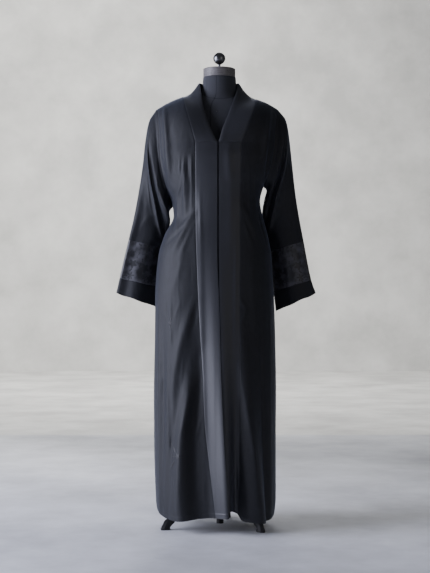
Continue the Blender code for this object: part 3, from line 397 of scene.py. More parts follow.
def row_height(side, row, angle):
    """Height of a row below the cross seam, eased to the hem's own line."""
    share, underarm = row / SKIRT_ROWS, UNDERARM_Z[side]
    ease = np.maximum(0.0, 1 - share / HEM_EASE) ** 2
    hem = (HEM.at("z", np.degrees(angle)) - HEM_LEVEL) * ease
    skirt = HEM_LEVEL + (underarm - HEM_LEVEL) * share + hem
    climb = (row - SKIRT_ROWS) / ARMHOLE_ROWS
    return np.where(row <= SKIRT_ROWS, skirt, underarm + (CROSS_SEAM_Z - underarm) * climb)


def side_angle(side, z):
    """The angle where a front ends: the side seam, or the armhole above the underarm."""
    cut = section_angle(ARMHOLE[side].at("x", z) * side, z) * side
    return np.where(z <= UNDERARM_Z[side] + 1e-6, math.pi / 2, cut)


def over_shoulder(start, end, climb):
    """Points on the way from the cross seam's level over to the shoulder seam or neckline."""
    lift, reach = np.sin(climb * math.pi / 2), np.cos(climb * math.pi / 2)
    ease = climb * climb * (3 - 2 * climb)
    return np.stack([start[..., 0] + (end[..., 0] - start[..., 0]) * ease,
                     end[..., 1] + (start[..., 1] - end[..., 1]) * reach,
                     start[..., 2] + (end[..., 2] - start[..., 2]) * lift], axis=-1)


def shoulder_seam(side, share):
    """The shoulder seam, from the neck point (0) to the tip (1)."""
    neck, tip, share = np.array(SHOULDER_POINT[side]), np.array(SHOULDER_TIP[side]), np.asarray(share)
    point = neck + (tip - neck) * share[..., None]
    point[..., 2] += SHOULDER_RISE * np.sin(math.pi * share)
    return point


def neckline_points(share):
    """The neckline round the back of the neck, from the right neck point to the left."""
    right, left = np.array(SHOULDER_POINT[-1]), np.array(SHOULDER_POINT[1])
    turn = math.pi * np.asarray(share)
    point = (right + left) / 2 + (right - left) / 2 * np.cos(turn)[..., None]
    point[..., 1] += (NECKLINE_BACK_Y - point[..., 1]) * np.clip(np.sin(turn), 0, 1) ** 0.8
    return point


def stations(count, first_gap=0.0, last_gap=0.0, start=0.0, end=1.0):
    """Even stations from start to end, with extra ones close to a sewn edge for its soft roll."""
    extra = [start + first_gap * NEAR_A_SEAM, end - last_gap * NEAR_A_SEAM]
    return np.unique(np.round(np.concatenate([np.linspace(start, end, count + 1), *extra]), 6))


print("stations along a short seam:", stations(4, 0.05, 0.05))

# %% [markdown]
# ## Fronts, bands, back and neckband
# Each piece is worked out as a grid of points on the cloth's outer face. Neighbouring pieces use
# the same seam lines, so that they meet as they would on the sewing table.

# %% Fronts and front bands
# Low down the left band goes behind the other, and its free corner is lifted off the hem's line.
TUCK, TUCK_HEIGHT, CORNER_LIFT, CORNER_ROWS = np.array([-0.006, 0.016, 0.0]), 0.55, 0.018, 4


def settled(side, rows, shares, guess, last_angle):
    """Angles and heights from a band's seam to another line, given by its angle at a height.

    The hem's height depends on the angle, so the two are found in three rounds."""
    angle = guess
    for _ in range(3):
        z = row_height(side, rows, angle)
        first = section_angle(BAND_SEAMS.at(WORN[side], z), z)
        angle = first + (last_angle(z) - first) * shares
    return angle, row_height(side, rows, angle)


def front_surface(side, rows, shares):
    """A front, in shares from its band to its side."""
    rows, shares = np.meshgrid(rows, shares, indexing="ij")
    angle, z = settled(side, np.minimum(rows, FLAT_ROWS), shares,
                       side * np.radians(20 + 70 * shares), lambda z: side * side_angle(side, z))
    flat = body_points(angle, z)
    climb = np.clip((rows - FLAT_ROWS) / SHOULDER_ROWS, 0, 1)
    over = over_shoulder(flat, shoulder_seam(side, shares), climb)
    at_band = over_shoulder(flat[:, :1], shoulder_seam(side, shares[:, :1] * 0), climb[:, :1])
    band = COLLAR_SEAM.at(WORN[side], climb)
    over[..., 0] += np.where(climb > 0, (band - at_band[..., 0]) * (1 - shares), 0)
    return over


def placket_surface(side, rows, shares):
    """A front band, in shares from its seam to its free edge."""
    rows, shares = np.meshgrid(rows, shares, indexing="ij")

    def meeting_angle(z):
        return section_angle(BAND_SEAMS.at("meeting", z) + side * MEETING_GAP.at("gap", z) / 2, z)

    angle, z = settled(side, rows, shares, np.full_like(rows, side * math.radians(10), float),
                       meeting_angle)
    points = body_points(angle, z)
    if side > 0:
        low = np.maximum(0.0, 1 - (z - HEM_LEVEL) / TUCK_HEIGHT) * shares
        points = points + TUCK * low[..., None]
        points[..., 2] += CORNER_LIFT * shares * np.maximum(0.0, 1 - rows / CORNER_ROWS)
    return points


HEM_ROWS = np.array([0.18, 0.21, 0.23, 0.245, 0.26, 0.275, 0.29, 0.31, 0.34, 0.42])
SEAM_ROWS = [FLAT_ROWS - SEAM_STEP, TOP_ROW - SEAM_STEP, TOP_ROW]
BODY_ROWS = np.unique(np.concatenate([np.arange(0, TOP_ROW, ROW_STEP), HEM_ROWS, SEAM_ROWS]).round(5))
fronts = {side: front_surface(side, BODY_ROWS, stations(72, 0.014, 0.014)) for side in WORN}
plackets = {side: placket_surface(side, BODY_ROWS[BODY_ROWS <= FLAT_ROWS], stations(22, 0.05, 0.05))
            for side in WORN}
print("front grid", fronts[1].shape, "front band grid", plackets[1].shape)

# %% Back
def back_surface(rows, shares):
    """The back, in shares from the right side to the left."""
    rows, shares = np.meshgrid(rows, shares, indexing="ij")
    low = np.minimum(rows, FLAT_ROWS)
    heights = {side: row_height(side, low, np.full_like(low, side * math.pi / 2)) for side in WORN}
    turn = {side: side * (math.pi - side_angle(side, heights[side])) for side in WORN}
    angle = turn[-1] + 2 * math.pi + (turn[1] - turn[-1] - 2 * math.pi) * shares
    angle = np.where(angle > math.pi, angle - 2 * math.pi, angle)
    plain = heights[-1] + (heights[1] - heights[-1]) * shares
    eased = row_height(-1, low, angle) * (1 - shares) + row_height(1, low, angle) * shares
    flat = body_points(angle, np.where(low < SKIRT_ROWS, eased, plain))
    neck = neckline_points(np.clip((shares - NECK_START) / (1 - 2 * NECK_START), 0, 1))
    left = shoulder_seam(1, (shares - 1 + NECK_START) / NECK_START)
    top = np.where((shares < 1 - NECK_START)[..., None], neck, left)
    right = shoulder_seam(-1, 1 - shares / NECK_START)
    top = np.where((shares <= NECK_START)[..., None], right, top)
    return over_shoulder(flat, top, np.clip((rows - FLAT_ROWS) / SHOULDER_ROWS, 0, 1))


back = back_surface(BODY_ROWS, stations(28 * 6, 0.008, 0.008))
print("back grid", back.shape)

# %% Neckband
CLIMBS = stations(36)
NECK_ROUND = np.linspace(0, 1, 33)[1:-1]
ALL_CLIMBS = np.concatenate([CLIMBS, 1 + 0.5 * (1 - np.abs(1 - 2 * NECK_ROUND)), CLIMBS[::-1]])
ON_RIGHT = np.arange(len(ALL_CLIMBS)) < len(CLIMBS) + (NECK_ROUND < 0.5).sum()
JOINING = fair_curve(np.arange(4.0), np.array([1.0, 0.5, 0.15, 0.0]), CLIMBS * SHOULDER_ROWS)


def along_collar(table):
    """The right and left columns of a table, read from one cross seam round the neck."""
    return np.where(ON_RIGHT, table.at("right", ALL_CLIMBS), table.at("left", ALL_CLIMBS))


def collar_surface(shares):
    """The neckband, in shares from its free edge to its seam."""
    right, left = [front_surface(side, FLAT_ROWS + CLIMBS * SHOULDER_ROWS, np.array([0.0]))[:, 0]
                   for side in WORN]
    seam = np.concatenate([right, neckline_points(NECK_ROUND), left[::-1]])[:, None]
    edge = np.stack([along_collar(COLLAR_EDGE), COLLAR_EDGE.at("y", ALL_CLIMBS),
                     COLLAR_EDGE.at("z", ALL_CLIMBS)], axis=-1)[:, None]
    grid = edge + (seam - edge) * shares[None, :, None]
    grid[..., 2] += along_collar(BAND_ARCH)[:, None] * np.sin(math.pi * shares)[None]
    for side, ends in ((-1, grid), (1, grid[::-1])):
        shift = placket_surface(side, np.array([FLAT_ROWS]), 1 - shares)[0] - ends[0]
        ends[:len(CLIMBS)] += shift * JOINING[:, None, None]
    return grid


collar = collar_surface(stations(22, 0.0, 0.05))
print("neckband grid", collar.shape)

# %% [markdown]
# ## From points to cloth
# A sheet of cloth is modelled as its outer face first, and then gets its thickness inward, 1.2 mm
# with its turned edge. At a sewn edge the cloth rolls down into the seam, which gives the soft
# dark line that a sewn seam has.

# %% Cloth maker
CLOTH_MM = 1.2
SEAM_DROP, SEAM_WIDTH = 0.0007, 0.0045
FREE_DROP, FREE_WIDTH, FREE_RIDGE = 0.0018, 0.0045, 0.0005
ARMHOLE_VALLEY = 0.0022
SOFT_PLACE, SOFT_WIDTH = 0.012, 0.006          # of that valley, and of the free edge's ridge
HEM_TURN, HEM_PLY, STITCH_DENT = 0.016, 0.0005, 0.0003
PLY_EDGE, STITCH_WIDTH = 0.001, 0.0012


def closed_up(grid, closed):
    """A tube's grid with its first column again at the end."""
    return np.concatenate([grid, grid[:, :1]], axis=1) if closed else grid


def corners(grid):
    """The four corners of every cell of a grid, in order round it."""
    return grid[:-1, :-1], grid[:-1, 1:], grid[1:, 1:], grid[1:, :-1]


def grid_normals(grid, facing, closed):
    across = np.gradient(grid, axis=1)
    if closed:
        across = (np.roll(grid, -1, axis=1) - np.roll(grid, 1, axis=1)) / 2
    normals = np.cross(across, np.gradient(grid, axis=0)) * facing
    return normals / (np.linalg.norm(normals, axis=-1, keepdims=True) + 1e-12)


def distances(grid, axis):
    """How far each point lies along its row or column from the first one."""
    steps = np.linalg.norm(np.diff(grid, axis=axis), axis=-1)
    pad = [(0, 0), (0, 0)]
    pad[axis] = (1, 0)
    return np.pad(np.cumsum(steps, axis=axis), pad)


def roll_edges(grid, facing, closed, edges, hem):
    """Roll the cloth down into its seams, and turn up and stitch its hem."""
    normals = grid_normals(grid, facing, closed)
    up, along = distances(grid, 0), distances(grid, 1)
    gaps = {"first_row": up, "last_row": up[-1:] - up, "first_column": along,
            "last_column": along[:, -1:] - along}
    fall = np.zeros(grid.shape[:2])
    for edge, kind in edges.items():
        gap = gaps[edge]
        soft = np.exp(-((gap - SOFT_PLACE) / SOFT_WIDTH) ** 2)
        dip = SEAM_DROP * np.clip(1 - gap / SEAM_WIDTH, 0, 1) ** 2
        if kind == "side":                 # the armhole's own edge is met by the sleeve
            dip *= np.clip((min(UNDERARM_Z.values()) - grid[..., 2]) / 0.01, 0, 1)
        if kind == "armhole":              # the sleeve starts level, before a soft valley
            dip = ARMHOLE_VALLEY * soft * normals[..., 1] ** 2
        if kind == "free":                 # a turned edge rolls over, behind a soft ridge
            fall += FREE_DROP * np.clip(1 - gap / FREE_WIDTH, 0, 1) ** 2 - FREE_RIDGE * soft
        else:
            fall = np.maximum(fall, dip)
    if hem:
        ply = HEM_PLY * np.clip((HEM_TURN + PLY_EDGE - gaps[hem]) / PLY_EDGE, 0, 1)
        fall += STITCH_DENT * np.exp(-((gaps[hem] - HEM_TURN) / STITCH_WIDTH) ** 2) - ply
    return grid - normals * fall[..., None]


def cloth_object(name, grid, facing, closed, material, thickness=CLOTH_MM):
    """A sheet of cloth from a grid of points on its outer face, with UV in metres."""
    ring = closed_up(grid, closed)
    index = closed_up(np.arange(grid[..., 0].size).reshape(grid.shape[:2]), closed)
    quads = np.stack(corners(index), axis=-1)
    uv = np.stack(corners(np.stack([distances(ring, 1), distances(ring, 0)], axis=-1)), axis=-2)
    if facing < 0:
        quads, uv = quads[..., ::-1], uv[..., ::-1, :]
    mesh = bpy.data.meshes.new(name)
    mesh.from_pydata(grid.reshape(-1, 3).tolist(), [], quads.reshape(-1, 4).tolist())
    mesh.uv_layers.new(name="UVMap").data.foreach_set("uv", uv.reshape(-1).astype(np.float32))
    mesh.materials.append(material)
    piece = bpy.data.objects.new(name, mesh)
    bpy.context.scene.collection.objects.link(piece)
    bpy.context.view_layer.objects.active = piece
    piece.select_set(True)
    wall = piece.modifiers.new("cloth thickness", "SOLIDIFY")
    wall.thickness, wall.offset = thickness / 1000, -1
    bpy.ops.object.modifier_apply(modifier=wall.name)
    bpy.ops.object.shade_smooth_by_angle(angle=math.radians(50))
    piece.select_set(False)
    return piece


print("cloth of", CLOTH_MM, "mm with its turned edges")

# %% [markdown]
# ## Sleeves
# A sleeve starts on the armhole's own line and turns into a wide flat tube towards the wrist. Its
# sections are given at a few places along it, and every point follows a fair curve through them.
# Its folds are given by their start and end along the sleeve, their degrees round it at both
# ends, and their width and how far they stand out, in millimetres.

# %% Sleeve sizes
SLEEVE_COLUMNS = "share outer_x outer_y outer_z inner_x inner_y inner_z front back bow"
SLEEVES = {
    -1: Table(SLEEVE_COLUMNS, [
        (0.08, 226, 3, 1385, 157.5, 1, 1074, 62, 57, 19),
        (0.18, 238, 4, 1325, 155, 14, 1048, 57, 60, 18),
        (0.32, 249, 8, 1235, 161, 46, 1018, 48, 56, 11),
        (0.48, 265, 14, 1135, 172, 62, 985, 38, 50, 5),
        (0.62, 282, 22, 1050, 181, 69, 965, 32, 43, 0),
        (0.72, 299, 28, 981, 187, 75, 952, 29, 38, 0),
        (0.9, 331, 40, 849, 199.5, 81, 819, 25, 32, 0),
        (1, 342.5, 46, 798, 203.5, 84, 749, 23, 30, 0),
    ]),
    1: Table(SLEEVE_COLUMNS, [
        (0.08, 240, 3, 1387, 174, 1, 1147, 62, 57, 18),
        (0.18, 251.5, 4, 1327, 167, 10, 1118, 56, 60, 16),
        (0.32, 262.5, 8, 1236, 160.5, 26, 1070, 47, 56, 9),
        (0.48, 274.5, 14, 1135, 171, 52, 1015, 38, 50, 4),
        (0.62, 288.5, 22, 1050, 181, 66, 970, 32, 43, 0),
        (0.72, 303, 28, 977, 188, 73, 940, 29, 38, 0),
        (0.9, 330.5, 40, 843, 201.5, 79, 804, 25, 32, 0),
        (1, 346, 46, 797, 210.5, 82, 735, 23, 30, 0),
    ]),
}
LACE_START, LACE_END = 0.72, 0.90
SLEEVE_FOLDS = {
    "long crease from shoulder to elbow": (0.04, 0.56, 42, 150, 16, 12),
    "trough inside it": (0.06, 0.50, 74, 168, 16, -9),
    "trough down the outer face": (0.30, 0.95, 62, 50, 18, -6),
    "ridge down the inner face": (0.50, 1.00, 112, 88, 18, 9),
    "back crease": (0.06, 0.62, 318, 214, 18, 10),
    "back trough": (0.24, 0.98, 262, 268, 20, -7),
    "thin crease from the shoulder tip": (0.03, 0.46, 26, 96, 7, 2.6),
    "elbow pull": (0.30, 0.66, 120, 60, 7, 2.4),
    "second elbow pull": (0.38, 0.70, 150, 98, 7, 2),
    "thin crease at the outside": (0.16, 0.62, 18, 34, 9, 2.2),
    "armhole pucker": (0.01, 0.20, 100, 120, 6, 2.2),
    "thin back crease": (0.10, 0.60, 292, 240, 8, 2.6),
    "back pucker": (0.02, 0.26, 250, 236, 7, 2.2),
}
print("sleeve tables read at the elbow:", SLEEVES[1].at("outer_z", 0.5))

# %% Sleeve surfaces
LOOP_ROWS = np.arange(TOP_ROW, SKIRT_ROWS - 1e-6, -ROW_STEP)
EVEN_FROM = 0.45             # from here on the points are spread evenly round the sleeve
SIDEWAYS = 0.25              # how much folds stand out sideways, against front and back
ROLL_GAP = 0.0035
FIRST_RINGS = [0.002, 0.005, 0.009, 0.014, 0.020]


def armhole_loop(side):
    """The armhole from the shoulder tip down the front and up the back again."""
    down = front_surface(side, LOOP_ROWS, np.array([1.0]))[:, 0]
    up = back_surface(LOOP_ROWS[::-1], np.array([0.0 if side < 0 else 1.0]))[:, 0]
    return np.concatenate([down, up[1:-1]])


def sleeve_ring(side, share, angles):
    """One plain section of the sleeve."""
    row = {name: float(SLEEVES[side].at(name, share)) for name in SLEEVE_COLUMNS.split()[1:]}
    outer, inner = [np.array([side * row[end + "_x"], row[end + "_y"], row[end + "_z"]])
                    for end in ("outer", "inner")]
    sine, cosine = superellipse(angles)
    depth = np.where(sine >= 0, row["front"], row["back"])
    ring = (outer + inner) / 2 + (outer - inner) / 2 * cosine[:, None]
    return ring + np.stack([side * row["bow"] * sine * sine, -depth * sine, sine * 0], axis=-1)


def sleeve_fold_rise(shares, turns, girths):
    total = np.zeros_like(turns)
    for start, end, angle_start, angle_end, width, rise in SLEEVE_FOLDS.values():
        s = (shares - start) / (end - start)
        open_end = end >= LACE_END
        active = (s > 0) & ((s < 1) | open_end)
        s = np.clip(s, 0, 1)
        angle = np.radians(angle_start + (angle_end - angle_start) * s)
        fade = np.sin(math.pi * (np.minimum(s, 0.5) if open_end else s))
        away = (turns - angle) * girths / (2 * math.pi) / (width / 1000)
        total += np.where(active, rise / 1000 * fade * np.exp(-away * away), 0)
    return total


def sleeve_surface(side, shares):
    """Rings of the sleeve at shares of the way from the armhole to the cuff's edge."""
    loop = armhole_loop(side)
    half = len(loop) // 2
    even = np.arange(len(loop)) * 2 * math.pi / len(loop)
    middle_z, reach = (loop[0, 2] + loop[half, 2]) / 2, (loop[0, 2] - loop[half, 2]) / 2
    lean = np.arccos(np.clip((loop[:, 2] - middle_z) / reach, -1, 1))
    lean[half + 1:] = 2 * math.pi - lean[half + 1:]

    def turns_at(share):
        """Angles round the sleeve, spread as the armhole's points are and then evenly."""
        part = np.minimum(share / EVEN_FROM, 1.0)
        return lean * (1 - part) + even * part

    key = np.concatenate([[0.0], SLEEVES[side].key])
    rings = [sleeve_ring(side, share, turns_at(share)) for share in key[1:]]
    grid = fair_curve(key, np.stack([loop] + rings), shares)
    girths = np.linalg.norm(np.roll(grid, -1, axis=1) - grid, axis=-1).sum(axis=1, keepdims=True)
    out = (grid - grid.mean(axis=1, keepdims=True)) * [SIDEWAYS, 1, 1]
    out /= np.linalg.norm(out, axis=-1, keepdims=True) + 1e-9
    rise = sleeve_fold_rise(shares[:, None] + even * 0, turns_at(shares[:, None]), girths)
    return grid + out * rise[..., None]


def rings_between(start, end, count):
    return stations(count, ROLL_GAP, ROLL_GAP, start, end)


sleeve_shares = {
    "sleeve": np.unique(np.concatenate([FIRST_RINGS, rings_between(0, LACE_START, 78)])),
    "sleeve_band": rings_between(LACE_START, LACE_END, 26),
    "cuff": rings_between(LACE_END, 1, 16),
}
print({name: len(shares) for name, shares in sleeve_shares.items()}, "rings in each sleeve piece")

# %% [markdown]
# ## Materials
# Small helpers keep the material code short: one turns a hex colour into the linear numbers that
# the renderer wants, one adds a node and joins its inputs, and the others are its usual cases.
# All patterns are procedural. A recipe returns what the Principled shader takes.

# %% Material helpers
def linear(hex_colour):
    """A colour written as sRGB hex, as linear RGBA."""
    parts = [int(hex_colour[i:i + 2], 16) / 255 for i in (1, 3, 5)]
    return tuple(c / 12.92 if c <= 0.04045 else ((c + 0.055) / 1.055) ** 2.4 for c in parts) + (1.0,)


def fill_inputs(tree, node, inputs):
    """Give a node's inputs a value, a colour or a link. in0 means its first input."""
    for key, value in inputs.items():
        socket = node.inputs[int(key[2:])] if key.startswith("in") else node.inputs[key.replace("_", " ")]
        if isinstance(value, bpy.types.NodeSocket):
            tree.links.new(value, socket)
        else:
            socket.default_value = linear(value) if isinstance(value, str) else value


def add_node(tree, kind, settings=None, **inputs):
    """Add a node, set its properties, and fill its inputs."""
    node = tree.nodes.new("ShaderNode" + kind)
    for key, value in (settings or {}).items():
        setattr(node, key, value)
    fill_inputs(tree, node, inputs)
    return node


def coordinates(tree, kind, stretch=None):
    """The place on the piece, stretched if that is asked for."""
    place = add_node(tree, "TexCoord").outputs[kind]
    return add_node(tree, "Mapping", Vector=place, Scale=stretch).outputs[0] if stretch else place


def noise(tree, place, scale, detail, **more):
    return add_node(tree, "TexNoise", Vector=place, Scale=scale, Detail=detail, **more).outputs["Fac"]


def bump(tree, height, strength, distance, **more):
    return add_node(tree, "Bump", Height=height, Strength=strength, Distance=distance, **more).outputs[0]


def maths(tree, operation, *values):
    inputs = {f"in{i}": value for i, value in enumerate(values)}
    return add_node(tree, "Math", {"operation": operation}, **inputs).outputs[0]


def ranged(tree, value, **limits):
    return add_node(tree, "MapRange", Value=value, **limits).outputs[0]


def blend(tree, factor, first, second):
    """A colour between two others."""
    return add_node(tree, "Mix", {"data_type": "RGBA"}, Factor=factor, in6=first, in7=second).outputs[2]


def ramp(tree, value, *stops):
    """A colour that goes over between two values, each given with its colour."""
    node = add_node(tree, "ValToRGB", Fac=value)
    for element, (position, colour) in zip(node.color_ramp.elements, stops):
        element.position, element.color = position, linear(colour)
    return node.outputs["Color"]


def make_material(name, recipe, *values):
    """A material from its recipe, which tells what the Principled shader takes."""
    material = bpy.data.materials.new(name)
    material.use_nodes = True
    tree = material.node_tree
    fill_inputs(tree, tree.nodes["Principled BSDF"], recipe(tree, *values))
    print("made", name)
    return material


# %% [markdown]
# ## Black crepe
# Crepe is woven from overtwisted yarns, which pull the cloth into fine pebbles. Black crepe takes a
# cool grey sheen where the light grazes it, as its many small bumps catch the light.

# %% Black crepe
def crepe_recipe(tree):
    place = coordinates(tree, "Object")
    pebbles = noise(tree, place, 1400.0, 2.0, Roughness=0.6)
    yarn = noise(tree, place, 60.0, 3.0, Roughness=0.55)
    hang = add_node(tree, "Mapping", Vector=place, Scale=(30.0, 30.0, 9.0)).outputs[0]
    dents = noise(tree, hang, 1.0, 2.0, Roughness=0.45, Distortion=0.6)
    soft = bump(tree, dents, 0.5, 0.004)
    return dict(Base_Color=ramp(tree, yarn, (0.3, "#17181c"), (0.7, "#1b1c21")),
                Normal=bump(tree, pebbles, 0.35, 0.00015, Normal=soft), Roughness=0.62,
                Sheen_Weight=0.28, Sheen_Roughness=0.42, Sheen_Tint="#bcc8e6",
                Specular_IOR_Level=0.35)


crepe = make_material("black polyester crepe, piece-dyed", crepe_recipe)

# %% [markdown]
# ## Satin for the bands
# The bands down the fronts and round the neck are a matt satin, laid over the crepe. Its long
# smooth floats give a softer, wider highlight than crepe's.

# %% Satin
def satin_recipe(tree):
    floats = noise(tree, coordinates(tree, "UV", (4000.0, 700.0, 1.0)), 1.0, 1.0)
    return dict(Base_Color="#24252b", Normal=bump(tree, floats, 0.2, 0.0001), Roughness=0.50,
                Sheen_Weight=0.36, Sheen_Roughness=0.38, Sheen_Tint="#c0c7dc",
                Specular_IOR_Level=0.6)


satin = make_material("black matt satin, woven with long floats", satin_recipe)

# %% [markdown]
# ## Jacquard for the sleeve bands
# The bands above the cuffs are a black jacquard, in which glossy flowers and leaves show dark on a
# paler, matt and cloudy ground. The figures are drawn round the points of a cell pattern.

# %% Jacquard
def motif(tree, place, per_metre, petals, size, depth):
    """A scattered round motif: 1 inside it, 0 outside. Each cell of the scatter turns its own."""
    cells = add_node(tree, "TexVoronoi", Vector=place, Scale=per_metre, Randomness=0.55)
    offset = add_node(tree, "VectorMath", {"operation": "SUBTRACT"}, in0=place,
                      in1=cells.outputs["Position"]).outputs[0]
    away = add_node(tree, "VectorMath", {"operation": "SCALE"}, Vector=offset, Scale=per_metre).outputs[0]
    parts = add_node(tree, "SeparateXYZ", Vector=away)
    turn = maths(tree, "ARCTAN2", parts.outputs["Y"], parts.outputs["X"])
    chance = add_node(tree, "SeparateXYZ", Vector=cells.outputs["Color"])
    spin = maths(tree, "MULTIPLY_ADD", chance.outputs["X"], 6.28, turn)
    wave = maths(tree, "COSINE", maths(tree, "MULTIPLY", spin, float(petals)))
    edge = maths(tree, "MULTIPLY_ADD", wave, size * depth, size * (1 - depth))
    reach = add_node(tree, "VectorMath", {"operation": "LENGTH"}, Vector=away).outputs["Value"]
    return ranged(tree, maths(tree, "SUBTRACT", edge, reach), From_Min=-0.015, From_Max=0.03)


def jacquard_recipe(tree):
    place = coordinates(tree, "UV")
    figures = maths(tree, "MAXIMUM", motif(tree, place, 27.0, 5, 0.50, 0.17),
                    motif(tree, place, 62.0, 2, 0.40, 0.36))
    matt = ranged(tree, noise(tree, place, 34.0, 3.0), From_Min=0.36, From_Max=0.60)
    pattern = maths(tree, "MULTIPLY", matt, maths(tree, "MULTIPLY_ADD", figures, -0.85, 1.0))
    weft = noise(tree, place, 900.0, 2.0)
    relief = maths(tree, "MULTIPLY_ADD", weft, 0.25, pattern)
    return dict(Base_Color=blend(tree, pattern, "#19191d", "#46464d"),
                Roughness=ranged(tree, pattern, To_Min=0.32, To_Max=0.62),
                Normal=bump(tree, relief, 0.4, 0.00015), Specular_IOR_Level=0.6,
                Sheen_Weight=0.3, Sheen_Roughness=0.4, Sheen_Tint="#c0c7dc")


jacquard = make_material("black satin jacquard, woven with tonal flowers", jacquard_recipe)

# %% [markdown]
# ## The cloak's sheets
# Each sheet stands for the solid of the same name. The sleeves are cut as one flat panel and
# closed along the underarm.

# %% Sew the cloak
def sew(name, grid, facing, closed, material, slot_name, rolled, flat, hem=None):
    """Make one sheet of the cloak, and put it in place of its solid."""
    surface = roll_edges(grid, facing, closed, rolled, hem)
    piece = cloth_object(name + "_cloth", surface, facing, closed, material)
    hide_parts(name)
    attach(piece, "root")


for side, worn in WORN.items():
    sew("front_" + worn, fronts[side], side, False, crepe, "crepe",
        dict(last_row="plain", first_column="plain", last_column="side"), (0.36, 1.47), "first_row")
    sew("placket_" + worn, plackets[side], -side, False, satin, "satin",
        dict(last_row="plain", first_column="plain"), (0.105, 1.26), "first_row")
sew("back", back, -1, False, crepe, "crepe",
    dict(last_row="plain", first_column="side", last_column="side"), (0.72, 1.45), "first_row")
sew("neck_band", collar, -1, False, satin, "satin",
    dict(first_row="plain", last_row="plain", last_column="plain", first_column="free"), (0.10, 0.72))

# %% Set in the sleeves
SLEEVE_PARTS = {
    "sleeve": (crepe, "crepe", dict(first_row="armhole", last_row="plain"), (0.62, 0.52)),
    "sleeve_band": (jacquard, "jacquard", dict(first_row="plain", last_row="plain"), (0.42, 0.16)),
    "cuff": (crepe, "crepe", dict(first_row="plain"), (0.40, 0.09), "last_row"),
}
for side, worn in WORN.items():
    for part, how in SLEEVE_PARTS.items():
        sew(f"{part}_{worn}", sleeve_surface(side, sleeve_shares[part]), side, True, *how)
print("both sleeves set in")

# %% [markdown]
# ## Two sprigs on the skirt
# Small sprigs are embroidered on the right front in thread of the cloth's own black. Satin stitch
# stands a little proud and shines, so each petal and leaf is a thin domed pad laid on the skirt.
# A pad is given by its lean in degrees, and then, in millimetres, by its root across and up, its
# length and its width.

# %% Embroidered sprigs
PAD_MM = 0.8


def thread_recipe(tree):
    strands = noise(tree, coordinates(tree, "UV", (2400.0, 160.0, 1.0)), 1.0, 1.0)
    return dict(Base_Color="#1c1c20", Normal=bump(tree, strands, 0.5, 0.0002), Roughness=0.46,
                Specular_IOR_Level=0.5)


def stitched_pad(name, lean, x, z, length, width):
    """An almond-shaped pad on the front, from its root at (x, z), leaning from the vertical."""
    x, z, length, width = np.array([x, z, length, width]) / 1000
    along, across = np.meshgrid(np.linspace(0, 1, 11), np.linspace(-1, 1, 7), indexing="ij")
    half = width / 2 * np.sin(math.pi * (0.04 + 0.92 * along)) ** 0.8
    turn = math.radians(lean)
    px = x + along * length * math.sin(turn) + across * half * math.cos(turn)
    pz = z + along * length * math.cos(turn) - across * half * math.sin(turn)
    grid = body_points(section_angle(px, pz), pz)
    normals = grid_normals(grid, 1, False)
    normals *= -np.sign(normals[..., 1:2])
    dome = 0.0004 + 0.0008 * (1 - across ** 2) * np.sin(math.pi * along) ** 0.5
    return cloth_object(name, grid + normals * dome[..., None], 1, False, thread, PAD_MM)


SPRIGS = {
    "upper": [(lean, -151, 699, 7.5, 4.2) for lean in (-150, -78, -6, 66, 138)]
             + [(18, -150.4, 705, 15, 4), (172, -151.2, 693, 14, 3.8)],
    "lower": [(lean, -121, 260, 10.5, 5.6) for lean in (-170, -98, -26, 46, 118)]
             + [(-34, -130, 270, 36, 8), (-150, -133, 248, 32, 5.6), (-84, -132, 257, 15, 4.6)],
}
thread = make_material("black rayon thread, satin stitched", thread_recipe)
for where, pads in SPRIGS.items():
    made = [stitched_pad(f"{where}_pad_{i}", *pad) for i, pad in enumerate(pads)]
    bpy.ops.object.select_all(action="DESELECT")
    for pad in made:
        pad.select_set(True)
    bpy.context.view_layer.objects.active = made[0]
    bpy.ops.object.join()
    sprig = bpy.context.object
    sprig.name = sprig.data.name = f"sprig_{where}"
    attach(sprig, "root")
print(sum(len(pads) for pads in SPRIGS.values()), "stitched pads in", len(SPRIGS), "sprigs")

# %% [markdown]
# ## Jersey, wood and iron
# The form is covered in black cotton jersey, which is dull and soft, darker and drawn in along
# its seams. The cap on the neck is turned wood under a grey stain, the knob is darkened steel,
# and the stand is cast iron with a black satin paint.

# %% Jersey, wood and iron
def jersey_recipe(tree):
    stitches = noise(tree, coordinates(tree, "Object"), 900.0, 2.0)
    away = add_node(tree, "Attribute", {"attribute_name": "seam_mm"}).outputs["Fac"]
    flat = ranged(tree, away, From_Max=1.3)
    height = maths(tree, "MULTIPLY_ADD", stitches, 0.2, flat)
    return dict(Base_Color=blend(tree, flat, "#1e1e22", "#393a3f"),
                Normal=bump(tree, height, 0.6, 0.0006), Roughness=0.85, Sheen_Weight=0.4,
                Sheen_Roughness=0.5, Sheen_Tint="#c8ccd8", Specular_IOR_Level=0.25)


def wood_recipe(tree):
    grain = noise(tree, coordinates(tree, "Object", (30.0, 260.0, 260.0)), 1.0, 4.0)
    return dict(Base_Color=ramp(tree, grain, (0.35, "#5f5c5c"), (0.65, "#7a7677")),
                Normal=bump(tree, grain, 0.1, 0.0003), Roughness=0.5, Specular_IOR_Level=0.5)


def steel_recipe(tree):
    rings = noise(tree, coordinates(tree, "Object", (8.0, 8.0, 900.0)), 1.0, 1.0)
    return dict(Base_Color="#77787b", Metallic=1.0,
                Roughness=ranged(tree, rings, To_Min=0.24, To_Max=0.34))


def iron_recipe(tree):
    sand = noise(tree, coordinates(tree, "Object"), 350.0, 3.0)
    return dict(Base_Color="#1b1b1d", Normal=bump(tree, sand, 0.25, 0.0003), Roughness=0.55,
                Specular_IOR_Level=0.4)


